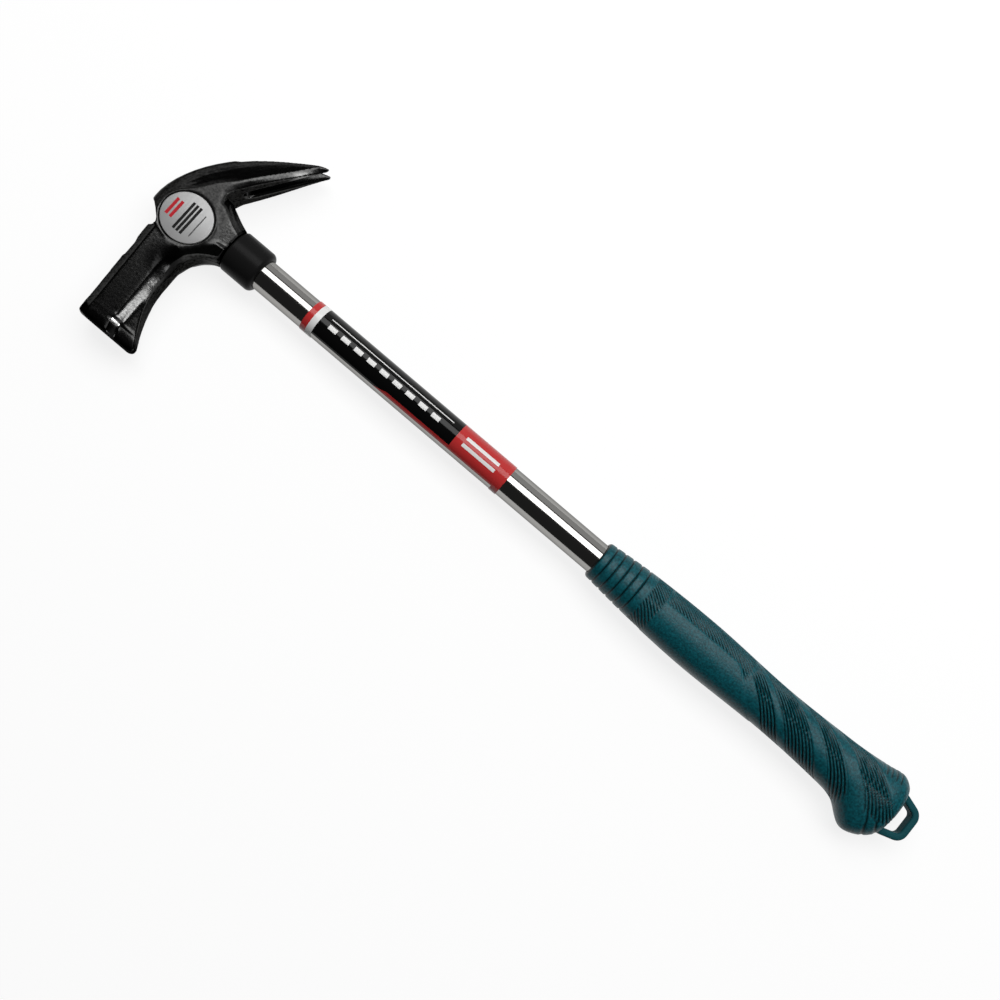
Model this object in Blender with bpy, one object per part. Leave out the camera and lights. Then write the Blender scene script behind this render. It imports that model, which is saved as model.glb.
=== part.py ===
"""Claw hammer with a forged head, a steel tube shaft, a moulded grip and a hanging loop.

The hammer lies on its side. X runs along the shaft from the head to the loop, Y points
to the claw and Z points up, out of the cheek that carries the badge. Sizes are written in
millimetres, with X = 0 at the crown of the head and the shaft axis at Y = Z = 0.
"""
import math

import bmesh
import bpy
from mathutils import Matrix, Vector

MM = 0.001

# Overall size and fits
OVERALL_LENGTH = 450.0
FIT_GAP = 0.3
FILM_GAP = 0.1
CUT_CLEARANCE = 6.0
ROUND_STEPS = 48

# Shaft tube, collar and pin
TUBE_DIAMETER = 15.3
TUBE_WALL = 1.2
COLLAR_WALL = 2.55
COLLAR_LENGTH = 17.0
COLLAR_EDGE_RADIUS = 2.4
PIN_DIAMETER = 4.0
PIN_SETBACK = 8.0

# Head: cheeks, neck and tang
HEAD_HALF_THICKNESS = 12.0
CHEEK_RELIEF = 0.25
NECK_END = 44.0
NECK_STEP = 0.9
NECK_BACK = 18.0
NECK_CLAW_RISE = 5.6
NECK_FILLET_LENGTH = 5.5
NECK_FILLET_DROP = 16.4
NECK_POLL_CUT = 6.5
NECK_CLAW_CUT = 4.6
NECK_SIDE_CUT = 5.8
TANG_LENGTH = 30.0

# Head: claw
CLAW_REACH = 56.7
CLAW_TIP_X = 53.1
CLAW_TIP_DEPTH = 2.2
CLAW_TIP_HALF_WIDTH = 6.4
CLAW_ROOT_X = 27.6
CLAW_ROOT_Y = 17.2
CLAW_HEEL_X = 30.0
CLAW_BACK_FOOT = 4.6
CLAW_BACK_PULL = (-14.4, 8.5)
CLAW_BACK_LEAD = (18.7, 1.6)
CLAW_WIDEST_Y = 10.0
CLAW_TAPER_POWER = 2.2
CLAW_EDGE_CUT = 1.0
CLAW_EDGE_DEPTH = 2.9
CLAW_CROWN_ROOT = 0.34
CLAW_CROWN_TIP = 0.95
CLAW_CROWN_RUN = 26.0
CROWN_POWER_ROOT = 1.6
CROWN_POWER_TIP = 2.1
SLOT_ROOT_WIDTH = 8.4
SLOT_MOUTH_WIDTH = 8.4
SLOT_START = 5.8
SLOT_BEVEL = 0.5
SLOT_BEVEL_DEPTH = 0.9

# Head: poll and striking face
POLL_REACH = 67.0
POLL_TOP_X = 9.0
POLL_LEAN = 2.9
POLL_BOTTOM_X = 31.0
POLL_FLAT_EDGE_X = 25.0
POLL_CREASE_X = 30.4
POLL_CHAMFER = 5.0
POLL_CORNER_BULGE = 0.12
CREASE_LEAN_SHARE = 0.3
FLANK_DROP = 0.5
FLANK_DROP_AT_FACE = 4.6
POLL_RELIEF = 0.2
POLL_INNER_END = 8.0
BELL_FLARE = 10.2
BELL_START = 36.0
BELL_BAND_HEIGHT = 8.3
BELL_BAND_PROUD = 0.7
BELL_BAND_STEP = 1.2
BELL_END = 3.2
BELL_POWER = 1.7
FACE_CHAMFER = 1.7

# Head: nail rest on the top, with its magnet
NOTCH_DEPTH = 12.4
NOTCH_START = 5.8
NOTCH_END = 16.9
RELIEF_DEPTH = 0.6
RELIEF_START = 23.5
RELIEF_RAMP = 3.6
RELIEF_END = 34.5
MAGNET_DIAMETER = 7.0
MAGNET_LENGTH = 5.0
MAGNET_SETBACK = 0.2

# Badge on the upper cheek
BADGE_X = 21.9
BADGE_Y = -4.1
BADGE_LENGTH = 25.0
BADGE_HEIGHT = 22.9
BADGE_THICKNESS = 0.9
BADGE_RING_GAP = 0.5
BADGE_RIM = 0.9
BADGE_EDGE_CHAMFER = 0.25

# Printed film on the shaft
LABEL_OFFSET = 45.7
LABEL_LENGTH = 117.1
LABEL_THICKNESS = 0.35
LABEL_HEAD_BAND = 6.3
LABEL_GRIP_BAND = 4.0
LABEL_WINDOW_START = math.radians(56.0)
LABEL_WINDOW_END = math.radians(112.0)

# Grip: walls over the tube as (distance from the front, claw side, poll side, cheek side)
LOOP_REACH = 11.5
GRIP_LENGTH = 176.8
GRIP_WALLS = (
    (0.0, 1.5, 1.6, 1.5),
    (27.0, 3.6, 3.7, 3.2),
    (60.0, 4.4, 4.8, 3.8),
    (106.0, 3.1, 3.7, 3.2),
    (141.0, 4.2, 4.9, 3.8),
    (152.0, 5.0, 6.8, 4.1),
    (163.5, 6.5, 14.0, 4.3),
    (170.0, 7.6, 11.9, 4.1),
    (175.0, 5.2, 7.8, 2.4),
    (176.8, 1.6, 3.8, -0.6),
)
GRIP_LIP_DEPTH = 0.8
GRIP_LIP_LENGTH = 1.2
GRIP_SQUARENESS = 2.3
GRIP_RING_STEPS = 40
GROOVE_COUNT = 5
GROOVE_FIRST = 4.2
GROOVE_PITCH = 4.5
GROOVE_WIDTH = 2.2
GROOVE_DEPTH = 0.55

# Hanging loop with the plug that anchors it in the tube
LOOP_CENTRE_Y = -1.85
LOOP_BAR = 3.4
LOOP_THICKNESS = 7.5
LOOP_ROOT_HALF_HEIGHT = 11.4
LOOP_END_HALF_HEIGHT = 8.3
LOOP_CORNER_RADIUS = 4.2
LOOP_EDGE_RADIUS = 0.9
ANCHOR_DEPTH = 14.5
ANCHOR_PLATE = 5.5
PLUG_LENGTH = 22.0

# Sizes that follow from the ones above
TUBE_RADIUS = TUBE_DIAMETER / 2
BORE_RADIUS = TUBE_RADIUS - TUBE_WALL
PLUG_RADIUS = BORE_RADIUS - FIT_GAP
COLLAR_BORE = TUBE_RADIUS + FIT_GAP
COLLAR_RADIUS = COLLAR_BORE + COLLAR_WALL
NECK_RADIUS = COLLAR_RADIUS - NECK_STEP
POLL_HALF_THICKNESS = HEAD_HALF_THICKNESS - POLL_RELIEF
TUBE_START = NECK_END + FIT_GAP
COLLAR_START = NECK_END + FIT_GAP
PIN_X = TUBE_START + PIN_SETBACK
LABEL_START = NECK_END + LABEL_OFFSET
BUTT_X = OVERALL_LENGTH - LOOP_REACH
GRIP_START = BUTT_X - GRIP_LENGTH
PLATE_START = BUTT_X - ANCHOR_DEPTH
TUBE_END = PLATE_START - FIT_GAP
PLUG_END = PLATE_START + ANCHOR_PLATE / 2


def clear_scene():
    for item in list(bpy.data.objects):
        bpy.data.objects.remove(item, do_unlink=True)


def make_material(name, colour, roughness, metallic):
    material = bpy.data.materials.new(name)
    material.use_nodes = True
    shader = material.node_tree.nodes["Principled BSDF"]
    shader.inputs["Base Color"].default_value = (*colour, 1.0)
    shader.inputs["Roughness"].default_value = roughness
    shader.inputs["Metallic"].default_value = metallic
    return material


def finish_object(name, bm, parent, material=None, sharp_angle=32.0):
    """Turn a bmesh in millimetres into a linked object in metres."""
    bmesh.ops.remove_doubles(bm, verts=bm.verts, dist=0.0005)
    bmesh.ops.recalc_face_normals(bm, faces=bm.faces)
    if bm.calc_volume(signed=True) < 0.0:
        bmesh.ops.reverse_faces(bm, faces=bm.faces)
    bmesh.ops.scale(bm, vec=(MM, MM, MM), verts=bm.verts)
    mesh = bpy.data.meshes.new(name)
    bm.to_mesh(mesh)
    bm.free()
    mesh.shade_smooth()
    mesh.set_sharp_from_angle(angle=math.radians(sharp_angle))
    item = bpy.data.objects.new(name, mesh)
    bpy.context.scene.collection.objects.link(item)
    item.parent = parent
    if material is None:
        item.hide_render = True
        item.display_type = "WIRE"
    else:
        mesh.materials.append(material)
    return item


def combine(target, tool, operation):
    modifier = target.modifiers.new(operation.title() + " " + tool.name, "BOOLEAN")
    modifier.operation = operation
    modifier.solver = "EXACT"
    modifier.object = tool


def loft(rings):
    """Skin a row of closed rings that all have the same number of points."""
    bm = bmesh.new()
    loops = [[bm.verts.new(point) for point in ring] for ring in rings]
    count = len(rings[0])
    for near, far in zip(loops, loops[1:]):
        for i in range(count):
            j = (i + 1) % count
            bm.faces.new((near[i], near[j], far[j], far[i]))
    bm.faces.new(loops[0])
    bm.faces.new(loops[-1])
    return bm


def prism(outline, low, high):
    """Extrude a closed XY outline from one height to another."""
    return loft([[Vector((x, y, z)) for x, y in outline] for z in (low, high)])


def turned(profile):
    """Turn a closed profile of (x, radius) points about the shaft axis."""
    bm = bmesh.new()
    verts = [bm.verts.new((x, 0.0, radius)) for x, radius in profile]
    edges = [bm.edges.new((a, b)) for a, b in zip(verts, verts[1:] + verts[:1])]
    bmesh.ops.spin(bm, geom=verts + edges, cent=(0, 0, 0), axis=(1, 0, 0),
                   angle=math.tau, steps=ROUND_STEPS, use_merge=True)
    return bm


def rod(radius, low, high, axis="X", centre=(0.0, 0.0)):
    """A round bar between two places on an axis; centre gives the other two coordinates."""
    bm = bmesh.new()
    bmesh.ops.create_cone(bm, cap_ends=True, segments=ROUND_STEPS, radius1=radius,
                          radius2=radius, depth=high - low)
    middle = (low + high) / 2
    if axis == "X":
        place = Matrix.Translation((middle, *centre)) @ Matrix.Rotation(math.pi / 2, 4, "Y")
    else:
        place = Matrix.Translation((*centre, middle))
    bmesh.ops.transform(bm, matrix=place, verts=bm.verts)
    return bm


def ease(t):
    """Smooth step from 0 to 1."""
    t = min(max(t, 0.0), 1.0)
    return t * t * (3.0 - 2.0 * t)


def mix(a, b, t):
    return a + (b - a) * t


def bezier(points, t):
    """Point on a Bezier curve of any order."""
    points = [Vector(p) for p in points]
    while len(points) > 1:
        points = [a.lerp(b, t) for a, b in zip(points, points[1:])]
    return points[0]


def smooth_through(rows, column, place):
    """Smooth curve through one column of a table whose first column is the place."""
    slopes = []
    for k, row in enumerate(rows):
        before = rows[max(k - 1, 0)]
        after = rows[min(k + 1, len(rows) - 1)]
        rise_before = (row[column] - before[column]) / max(row[0] - before[0], 1e-6)
        rise_after = (after[column] - row[column]) / max(after[0] - row[0], 1e-6)
        flat = rise_before * rise_after <= 0.0 and 0 < k < len(rows) - 1
        slopes.append(0.0 if flat else (after[column] - before[column]) / (after[0] - before[0]))
    for k in range(len(rows) - 1):
        if place <= rows[k + 1][0] or k == len(rows) - 2:
            span = rows[k + 1][0] - rows[k][0]
            t = (place - rows[k][0]) / span
            a, b = rows[k][column], rows[k + 1][column]
            return (a * (1 + 2 * t) * (1 - t) ** 2 + b * t * t * (3 - 2 * t)
                    + span * slopes[k] * t * (1 - t) ** 2 - span * slopes[k + 1] * t * t * (1 - t))


def corner(start, square, end, bulge, steps):
    """Points from start to end that cut the square corner, flat at bulge 0 and round at 1."""
    points = []
    for i in range(steps + 1):
        t = i / steps
        angle = t * math.pi / 2
        round_point = Vector(square) + (Vector(start) - Vector(square)) * (1 - math.sin(angle)) \
            + (Vector(end) - Vector(square)) * (1 - math.cos(angle))
        flat_point = Vector(start).lerp(Vector(end), t)
        points.append(flat_point.lerp(round_point, bulge))
    return points


def eight_sided(low, high, half, cut_low, cut_high, cut_side, bulge, steps):
    """Section with four cut corners; the first coordinate runs low to high, the second +-half."""
    shoulder = half - cut_side
    quarter = corner((high, shoulder), (high, half), (high - cut_high, half), bulge, steps)
    quarter += corner((low + cut_low, half), (low, half), (low, shoulder), bulge, steps)
    mirrored = [Vector((p.x, -p.y)) for p in reversed(quarter)]
    return quarter + mirrored


def claw_bar(root):
    """Claw and crown: a bar with a crowned back that curves from the cheeks to the tips."""
    stations = 22
    steps = 7
    foot_y = -mix(NOTCH_START, NOTCH_END, 0.9)
    outer = ((CLAW_BACK_FOOT, foot_y), CLAW_BACK_PULL,
             (CLAW_TIP_X - CLAW_BACK_LEAD[0], CLAW_REACH - CLAW_BACK_LEAD[1]),
             (CLAW_TIP_X, CLAW_REACH))
    inner_root = Vector((CLAW_ROOT_X, CLAW_ROOT_Y))
    inner_tip = Vector((CLAW_TIP_X, CLAW_REACH - CLAW_TIP_DEPTH))
    heel = Vector((CLAW_HEEL_X, CLAW_ROOT_Y / 2))
    rings = []
    for k in range(stations + 1):
        back = bezier(outer, k / stations)
        if back.y < heel.y:
            near_heel = ease((back.y - foot_y) / (heel.y - foot_y))
            front = Vector((mix(BADGE_X, heel.x, near_heel), back.y))
        else:
            share = (back.y - heel.y) / (CLAW_REACH - heel.y)
            climb = mix(heel.y, inner_tip.y, share) - inner_root.y
            if climb < 0.0:
                front = inner_root.lerp(heel, climb / (heel.y - inner_root.y))
            else:
                front = inner_root.lerp(inner_tip, climb / (inner_tip.y - inner_root.y))
        spread = ease((back.y - CLAW_WIDEST_Y) / (CLAW_REACH - CLAW_WIDEST_Y))
        half = mix(HEAD_HALF_THICKNESS, CLAW_TIP_HALF_WIDTH, spread ** CLAW_TAPER_POWER)
        rounding = ease(back.y / CLAW_CROWN_RUN)
        thickness = max((front - back).length, CLAW_EDGE_DEPTH * 2)
        cheek_end = 1.0 - CLAW_EDGE_DEPTH * rounding / thickness
        crown = mix(CLAW_CROWN_ROOT, CLAW_CROWN_TIP, rounding) * cheek_end
        power = mix(CROWN_POWER_ROOT, CROWN_POWER_TIP, rounding)
        side = []
        for i in range(steps + 1):
            out = i / steps
            side.append((crown * out ** power, half * out))
        side.append((cheek_end, half))
        side.append((1.0, half - CLAW_EDGE_CUT))
        points = side + [(depth, -z) for depth, z in reversed(side[1:])]
        ring = []
        for depth, z in points:
            flat = back.lerp(front, depth)
            ring.append(Vector((flat.x, flat.y, z)))
        rings.append(ring)
    return finish_object("claw_bar", loft(rings), root)


def slot_cutter(root):
    """Tapered nail slot with bevelled lips, cut square to the inner face of the claw."""
    inner_root = Vector((CLAW_ROOT_X, CLAW_ROOT_Y))
    inner_tip = Vector((CLAW_TIP_X, CLAW_REACH - CLAW_TIP_DEPTH))
    along = (inner_tip - inner_root).normalized()
    outward = Vector((along.y, -along.x))
    length = (inner_tip - inner_root).length + CUT_CLEARANCE
    levels = ((-CLAW_ROOT_X - CUT_CLEARANCE, 0.0), (-SLOT_BEVEL_DEPTH, 0.0),
              (SLOT_BEVEL_DEPTH, SLOT_BEVEL * 2))
    rings = []
    for level, widen in levels:
        root_half = SLOT_ROOT_WIDTH / 2 + widen
        mouth_half = SLOT_MOUTH_WIDTH / 2 + widen
        outline = [(length, -mouth_half), (length, mouth_half)]
        arc_steps = 8
        for i in range(arc_steps + 1):
            angle = math.pi * i / arc_steps
            reach = SLOT_START + SLOT_ROOT_WIDTH / 2 - root_half * math.sin(angle)
            outline.append((reach, root_half * math.cos(angle)))
        ring = []
        for reach, z in outline:
            flat = inner_root + along * reach + outward * level
            ring.append(Vector((flat.x, flat.y, z)))
        rings.append(ring)
    return finish_object("slot_cutter", loft(rings), root)


def poll_top(place):
    """Where the top of the poll lies, at a distance below the shaft axis."""
    return POLL_TOP_X + POLL_LEAN * max(0.0, place - NOTCH_END) / (POLL_REACH - NOTCH_END)


def poll_bar(root):
    """Poll with cut corners, whose shaft side flares past them to the banded striking face."""
    band_top = POLL_REACH - BELL_BAND_HEIGHT
    bell_end = POLL_REACH - BELL_END
    face_edge = POLL_REACH - FACE_CHAMFER
    places = [mix(POLL_INNER_END, BELL_START, i / 3) for i in range(3)]
    places += [mix(BELL_START, band_top, i / 6) for i in range(7)]
    places += [band_top + BELL_BAND_STEP, bell_end]
    places += [mix(face_edge, POLL_REACH, i / 3) for i in range(4)]
    rings = []
    for place in places:
        t = min(max((place - BELL_START) / (bell_end - BELL_START), 0.0), 1.0)
        proud = BELL_BAND_PROUD * ease((place - band_top) / BELL_BAND_STEP)
        inset = FACE_CHAMFER * max(0.0, (place - face_edge) / FACE_CHAMFER) ** 2
        top = poll_top(place) - proud * 0.3 + inset
        bottom = POLL_BOTTOM_X + BELL_FLARE * t ** BELL_POWER - inset
        half = POLL_HALF_THICKNESS + proud - inset
        shoulder = half - POLL_CHAMFER
        flank = shoulder - mix(FLANK_DROP, FLANK_DROP_AT_FACE, t ** BELL_POWER)
        lean = poll_top(place) - POLL_TOP_X
        flat_edge = POLL_FLAT_EDGE_X + lean
        crease = min(POLL_CREASE_X + lean * CREASE_LEAN_SHARE, bottom - FLANK_DROP)
        side = [Vector((bottom, flank))]
        side += corner((crease, shoulder), (crease, half), (flat_edge, half), POLL_CORNER_BULGE, 3)
        side += corner((top + POLL_CHAMFER, half), (top, half), (top, shoulder), POLL_CORNER_BULGE, 3)
        section = side + [Vector((p.x, -p.y)) for p in reversed(side)]
        rings.append([Vector((p.x, -place, p.y)) for p in section])
    return finish_object("poll_bar", loft(rings), root)


def neck_bar(root):
    """Neck that sweeps from the cheeks to the round shoulder under the collar."""
    sweep = ((NECK_END, -NECK_RADIUS),
             (NECK_END - NECK_FILLET_LENGTH, -NECK_RADIUS - NECK_FILLET_DROP * 0.13),
             (POLL_BOTTOM_X + NECK_FILLET_LENGTH * 0.2, -NECK_RADIUS - NECK_FILLET_DROP * 0.24),
             (POLL_BOTTOM_X - FIT_GAP, -NECK_RADIUS - NECK_FILLET_DROP))
    rings = []
    stations = 12
    for k in range(stations + 2):
        t = min(k / stations, 1.0)
        point = bezier(sweep, t)
        x = point.x if k <= stations else NECK_BACK
        low = point.y
        rise = (NECK_END - x) / (NECK_END - POLL_BOTTOM_X)
        high = NECK_RADIUS + NECK_CLAW_RISE * min(rise, 1.0) ** 1.2
        half = mix(NECK_RADIUS, HEAD_HALF_THICKNESS - CHEEK_RELIEF, ease(rise))
        section = eight_sided(low, high, half, NECK_POLL_CUT, NECK_CLAW_CUT, NECK_SIDE_CUT, 0.3, 4)
        rings.append([Vector((x, p.x, p.y)) for p in section])
    return finish_object("neck_bar", loft(rings), root)


def badge_outline(grow):
    """Oval of the badge, grown evenly by a distance."""
    points = []
    for i in range(ROUND_STEPS):
        angle = math.tau * i / ROUND_STEPS
        points.append((BADGE_X + (BADGE_LENGTH / 2 + grow) * math.cos(angle),
                       BADGE_Y + (BADGE_HEIGHT / 2 + grow) * math.sin(angle)))
    return points


def notch_outline():
    """Nail rest in the crown: a slope down from the claw side and a lip at the poll."""
    clear = -CUT_CLEARANCE
    lip = (POLL_TOP_X - FIT_GAP) / NOTCH_DEPTH
    shape = ((0.0, 0.0), (0.35, 0.15), (0.69, 0.38), (0.92, 0.61), (1.0, 0.77), (0.99, 0.85),
             (mix(1.0, lip, 0.6), 0.95), (lip, 1.0))
    floor = [(NOTCH_DEPTH * deep, -mix(NOTCH_START, NOTCH_END, along)) for deep, along in shape]
    return [(clear, -NOTCH_START + FIT_GAP)] + floor + [(clear, -NOTCH_END - FIT_GAP)]


def relief_floor():
    return poll_top(RELIEF_END) + RELIEF_DEPTH


def magnet_place():
    return -(RELIEF_START + RELIEF_RAMP + RELIEF_END) / 2


def make_head(root, steel):
    head = claw_bar(root)
    head.name = "head"
    head.hide_render = False
    head.display_type = "TEXTURED"
    head.data.materials.append(steel)
    half = HEAD_HALF_THICKNESS
    cheek = finish_object("cheek_boss", prism(badge_outline(BADGE_RING_GAP + BADGE_RIM),
                                              -half, half), root)
    tang = finish_object("tang", rod(PLUG_RADIUS, NECK_BACK, NECK_END + TANG_LENGTH), root)
    for piece in (poll_bar(root), neck_bar(root), cheek, tang):
        combine(head, piece, "UNION")
    wide = half + CUT_CLEARANCE
    seat_floor = half - BADGE_THICKNESS - FIT_GAP
    floor = relief_floor()
    relief = [(-CUT_CLEARANCE, -RELIEF_START), (poll_top(RELIEF_START) - FIT_GAP, -RELIEF_START),
              (floor, -RELIEF_START - RELIEF_RAMP), (floor, -RELIEF_END),
              (-CUT_CLEARANCE, -RELIEF_END)]
    magnet_floor = floor + MAGNET_SETBACK + MAGNET_LENGTH + FIT_GAP
    magnet_y = magnet_place()
    cutters = (
        finish_object("notch_cutter", prism(notch_outline(), -wide, wide), root),
        finish_object("relief_cutter", prism(relief, -wide, wide), root),
        slot_cutter(root),
        finish_object("badge_seat_cutter", prism(badge_outline(BADGE_RING_GAP),
                                                 seat_floor, wide), root),
        finish_object("magnet_pocket_cutter", rod(MAGNET_DIAMETER / 2 + FIT_GAP, -CUT_CLEARANCE,
                                                  magnet_floor, "X", (magnet_y, 0.0)), root),
        finish_object("tang_pin_cutter", rod(PIN_DIAMETER / 2 + FIT_GAP, -wide, wide, "Z",
                                             (PIN_X, 0.0)), root),
    )
    for cutter in cutters:
        combine(head, cutter, "DIFFERENCE")
    return head


def make_magnet(root, steel):
    """Magnet pressed into the top of the poll, where a nail lies."""
    low = relief_floor() + MAGNET_SETBACK
    bm = rod(MAGNET_DIAMETER / 2, low, low + MAGNET_LENGTH, "X", (magnet_place(), 0.0))
    return finish_object("nail_magnet", bm, root, steel)


def make_badge(root, metal):
    top = HEAD_HALF_THICKNESS
    edge = BADGE_EDGE_CHAMFER
    rings = []
    for z, grow in ((top - BADGE_THICKNESS, 0.0), (top - edge, 0.0), (top, -edge)):
        rings.append([Vector((x, y, z)) for x, y in badge_outline(grow)])
    return finish_object("cheek_badge", loft(rings), root, metal)


def make_collar(root, plastic):
    end = COLLAR_START + COLLAR_LENGTH
    front_radius = COLLAR_EDGE_RADIUS * 0.4
    profile = [(end, COLLAR_BORE), (COLLAR_START, COLLAR_BORE)]
    for radius, sign, place in ((front_radius, -1, COLLAR_START), (COLLAR_EDGE_RADIUS, 1, end)):
        steps = 6
        arc = []
        for i in range(steps + 1):
            angle = math.pi / 2 * i / steps
            arc.append((place + sign * radius * (math.sin(angle) - 1),
                        COLLAR_RADIUS + radius * (math.cos(angle) - 1)))
        profile += arc[::-1] if sign < 0 else arc
    return finish_object("neck_collar", turned(profile), root, plastic)


def make_tube(root, chrome):
    profile = [(TUBE_START, BORE_RADIUS), (TUBE_START, TUBE_RADIUS),
               (TUBE_END, TUBE_RADIUS), (TUBE_END, BORE_RADIUS)]
    tube = finish_object("handle_tube", turned(profile), root, chrome)
    wide = TUBE_RADIUS + CUT_CLEARANCE
    hole = finish_object("tube_pin_cutter", rod(PIN_DIAMETER / 2 + FIT_GAP, -wide, wide, "Z",
                                                (PIN_X, 0.0)), root)
    combine(tube, hole, "DIFFERENCE")
    return tube


def make_pin(root, steel):
    half = TUBE_RADIUS - FIT_GAP / 2
    return finish_object("cross_pin", rod(PIN_DIAMETER / 2, -half, half, "Z", (PIN_X, 0.0)),
                         root, steel)


def make_label(root, film):
    """Printed film round the tube, with a strip of bare tube along the poll side."""
    inner = TUBE_RADIUS + FILM_GAP
    outer = inner + LABEL_THICKNESS
    end = LABEL_START + LABEL_LENGTH
    profile = [(LABEL_START, inner), (LABEL_START, outer), (end, outer), (end, inner)]
    label = finish_object("shaft_label", turned(profile), root, film)
    reach = outer * 3.0
    wedge = [(0.0, 0.0)]
    for angle in (LABEL_WINDOW_START, LABEL_WINDOW_END):
        wedge.append((-reach * math.sin(angle), reach * math.cos(angle)))
    places = (LABEL_START + LABEL_HEAD_BAND, end - LABEL_GRIP_BAND)
    window = finish_object("label_window_cutter", loft(
        [[Vector((x, y, z)) for y, z in wedge] for x in places]), root)
    combine(label, window, "DIFFERENCE")
    return label


def groove_at(place):
    """Depth of the ring grooves at a distance from the front of the grip."""
    for i in range(GROOVE_COUNT):
        away = abs(place - GROOVE_FIRST - i * GROOVE_PITCH) / (GROOVE_WIDTH / 2)
        if away < 1.0:
            return GROOVE_DEPTH * (1.0 + math.cos(math.pi * away)) / 2
    return 0.0


def grip_section(place):
    """Oval ring of the grip at a distance from its front end."""
    claw_wall, poll_wall, cheek_wall = [smooth_through(GRIP_WALLS, c, place) for c in (1, 2, 3)]
    lip = GRIP_LIP_DEPTH * max(0.0, 1.0 - place / GRIP_LIP_LENGTH) ** 2
    trim = groove_at(place) + lip
    claw = TUBE_RADIUS + FIT_GAP + claw_wall - trim
    poll = TUBE_RADIUS + FIT_GAP + poll_wall - trim
    cheek = TUBE_RADIUS + FIT_GAP + cheek_wall - trim
    power = 2.0 / mix(2.0, GRIP_SQUARENESS, ease(place / GRIP_WALLS[1][0]))
    ring = []
    for i in range(GRIP_RING_STEPS):
        angle = math.tau * i / GRIP_RING_STEPS
        across, up = math.cos(angle), math.sin(angle)
        reach = claw if across > 0 else poll
        y = reach * math.copysign(abs(across) ** power, across)
        z = cheek * math.copysign(abs(up) ** power, up)
        ring.append(Vector((GRIP_START + place, y, z)))
    return ring


def make_grip(root, rubber, loop_pocket):
    scale = GRIP_LENGTH / GRIP_WALLS[-1][0]
    places = [0.0, GRIP_LIP_LENGTH / 3, GRIP_LIP_LENGTH]
    for i in range(GROOVE_COUNT):
        middle = GROOVE_FIRST + i * GROOVE_PITCH
        places += [middle + GROOVE_WIDTH * part for part in (-0.5, -0.25, 0.0, 0.25, 0.5)]
    plain_from = places[-1] + GROOVE_WIDTH
    dome_from = GRIP_WALLS[-5][0]
    places += [mix(plain_from, dome_from, i / 16) for i in range(17)]
    places += [mix(dome_from, GRIP_WALLS[-1][0], i / 14) for i in range(1, 15)]
    rings = []
    for place in places:
        ring = grip_section(place)
        for point in ring:
            point.x = GRIP_START + place * scale
        rings.append(ring)
    grip = finish_object("grip", loft(rings), root, rubber)
    bore = finish_object("grip_bore_cutter", rod(TUBE_RADIUS + FIT_GAP, GRIP_START - CUT_CLEARANCE,
                                                 PLUG_END + FIT_GAP), root)
    combine(grip, bore, "DIFFERENCE")
    combine(grip, loop_pocket, "DIFFERENCE")
    return grip


def rounded_path(corners, radius, steps):
    """Open path through corners, with each inner corner rounded by an arc."""
    path = [Vector(corners[0])]
    for before, here, after in zip(corners, corners[1:], corners[2:]):
        here = Vector(here)
        into = (Vector(before) - here).normalized()
        out = (Vector(after) - here).normalized()
        half_angle = into.angle(out) / 2
        setback = radius / math.tan(half_angle)
        centre = here + (into + out).normalized() * radius / math.sin(half_angle)
        start = here + into * setback - centre
        end = here + out * setback - centre
        for i in range(steps + 1):
            path.append(centre + start.lerp(end, i / steps).normalized() * radius)
    path.append(Vector(corners[-1]))
    return path


def loop_bar(grow):
    """Bent bar of the loop, with its legs running down into the butt of the grip."""
    half_bar = LOOP_BAR / 2
    end_x = OVERALL_LENGTH - half_bar
    leg_half = LOOP_ROOT_HALF_HEIGHT - half_bar
    end_half = LOOP_END_HALF_HEIGHT - half_bar
    upper = [(PLUG_END, leg_half), (BUTT_X, leg_half), (end_x, end_half)]
    corners = [(x, LOOP_CENTRE_Y + y) for x, y in upper]
    corners += [(x, LOOP_CENTRE_Y - y) for x, y in reversed(upper)]
    path = rounded_path(corners, LOOP_CORNER_RADIUS, 7)
    across = half_bar + grow
    deep = LOOP_THICKNESS / 2 + grow
    section = eight_sided(-across, across, deep, LOOP_EDGE_RADIUS, LOOP_EDGE_RADIUS,
                          LOOP_EDGE_RADIUS, 1.0, 2)
    rings = []
    for k, point in enumerate(path):
        heading = (path[min(k + 1, len(path) - 1)] - path[max(k - 1, 0)]).normalized()
        side = Vector((heading.y, -heading.x))
        rings.append([Vector((*(point + side * p.x), p.y)) for p in section])
    return loft(rings)


def anchor_plate(grow):
    high = LOOP_ROOT_HALF_HEIGHT - LOOP_EDGE_RADIUS + grow
    deep = LOOP_THICKNESS / 2 - FIT_GAP + grow
    outline = [(PLATE_START - grow, LOOP_CENTRE_Y - high),
               (PLATE_START + ANCHOR_PLATE + grow, LOOP_CENTRE_Y - high),
               (PLATE_START + ANCHOR_PLATE + grow, LOOP_CENTRE_Y + high),
               (PLATE_START - grow, LOOP_CENTRE_Y + high)]
    return prism(outline, -deep, deep)


def make_loop(root, plastic):
    loop = finish_object("hang_loop", loop_bar(0.0), root, plastic)
    plate = finish_object("anchor_plate", anchor_plate(0.0), root)
    plug = finish_object("anchor_plug", rod(PLUG_RADIUS, PLATE_START - PLUG_LENGTH, PLUG_END), root)
    combine(loop, plate, "UNION")
    combine(loop, plug, "UNION")
    return loop


def loop_pocket(root):
    """Space in the butt for the anchor plate and the legs of the loop."""
    pocket = finish_object("loop_pocket", anchor_plate(FIT_GAP), root)
    legs = finish_object("loop_leg_pocket", loop_bar(FIT_GAP), root)
    combine(pocket, legs, "UNION")
    return pocket


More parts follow.
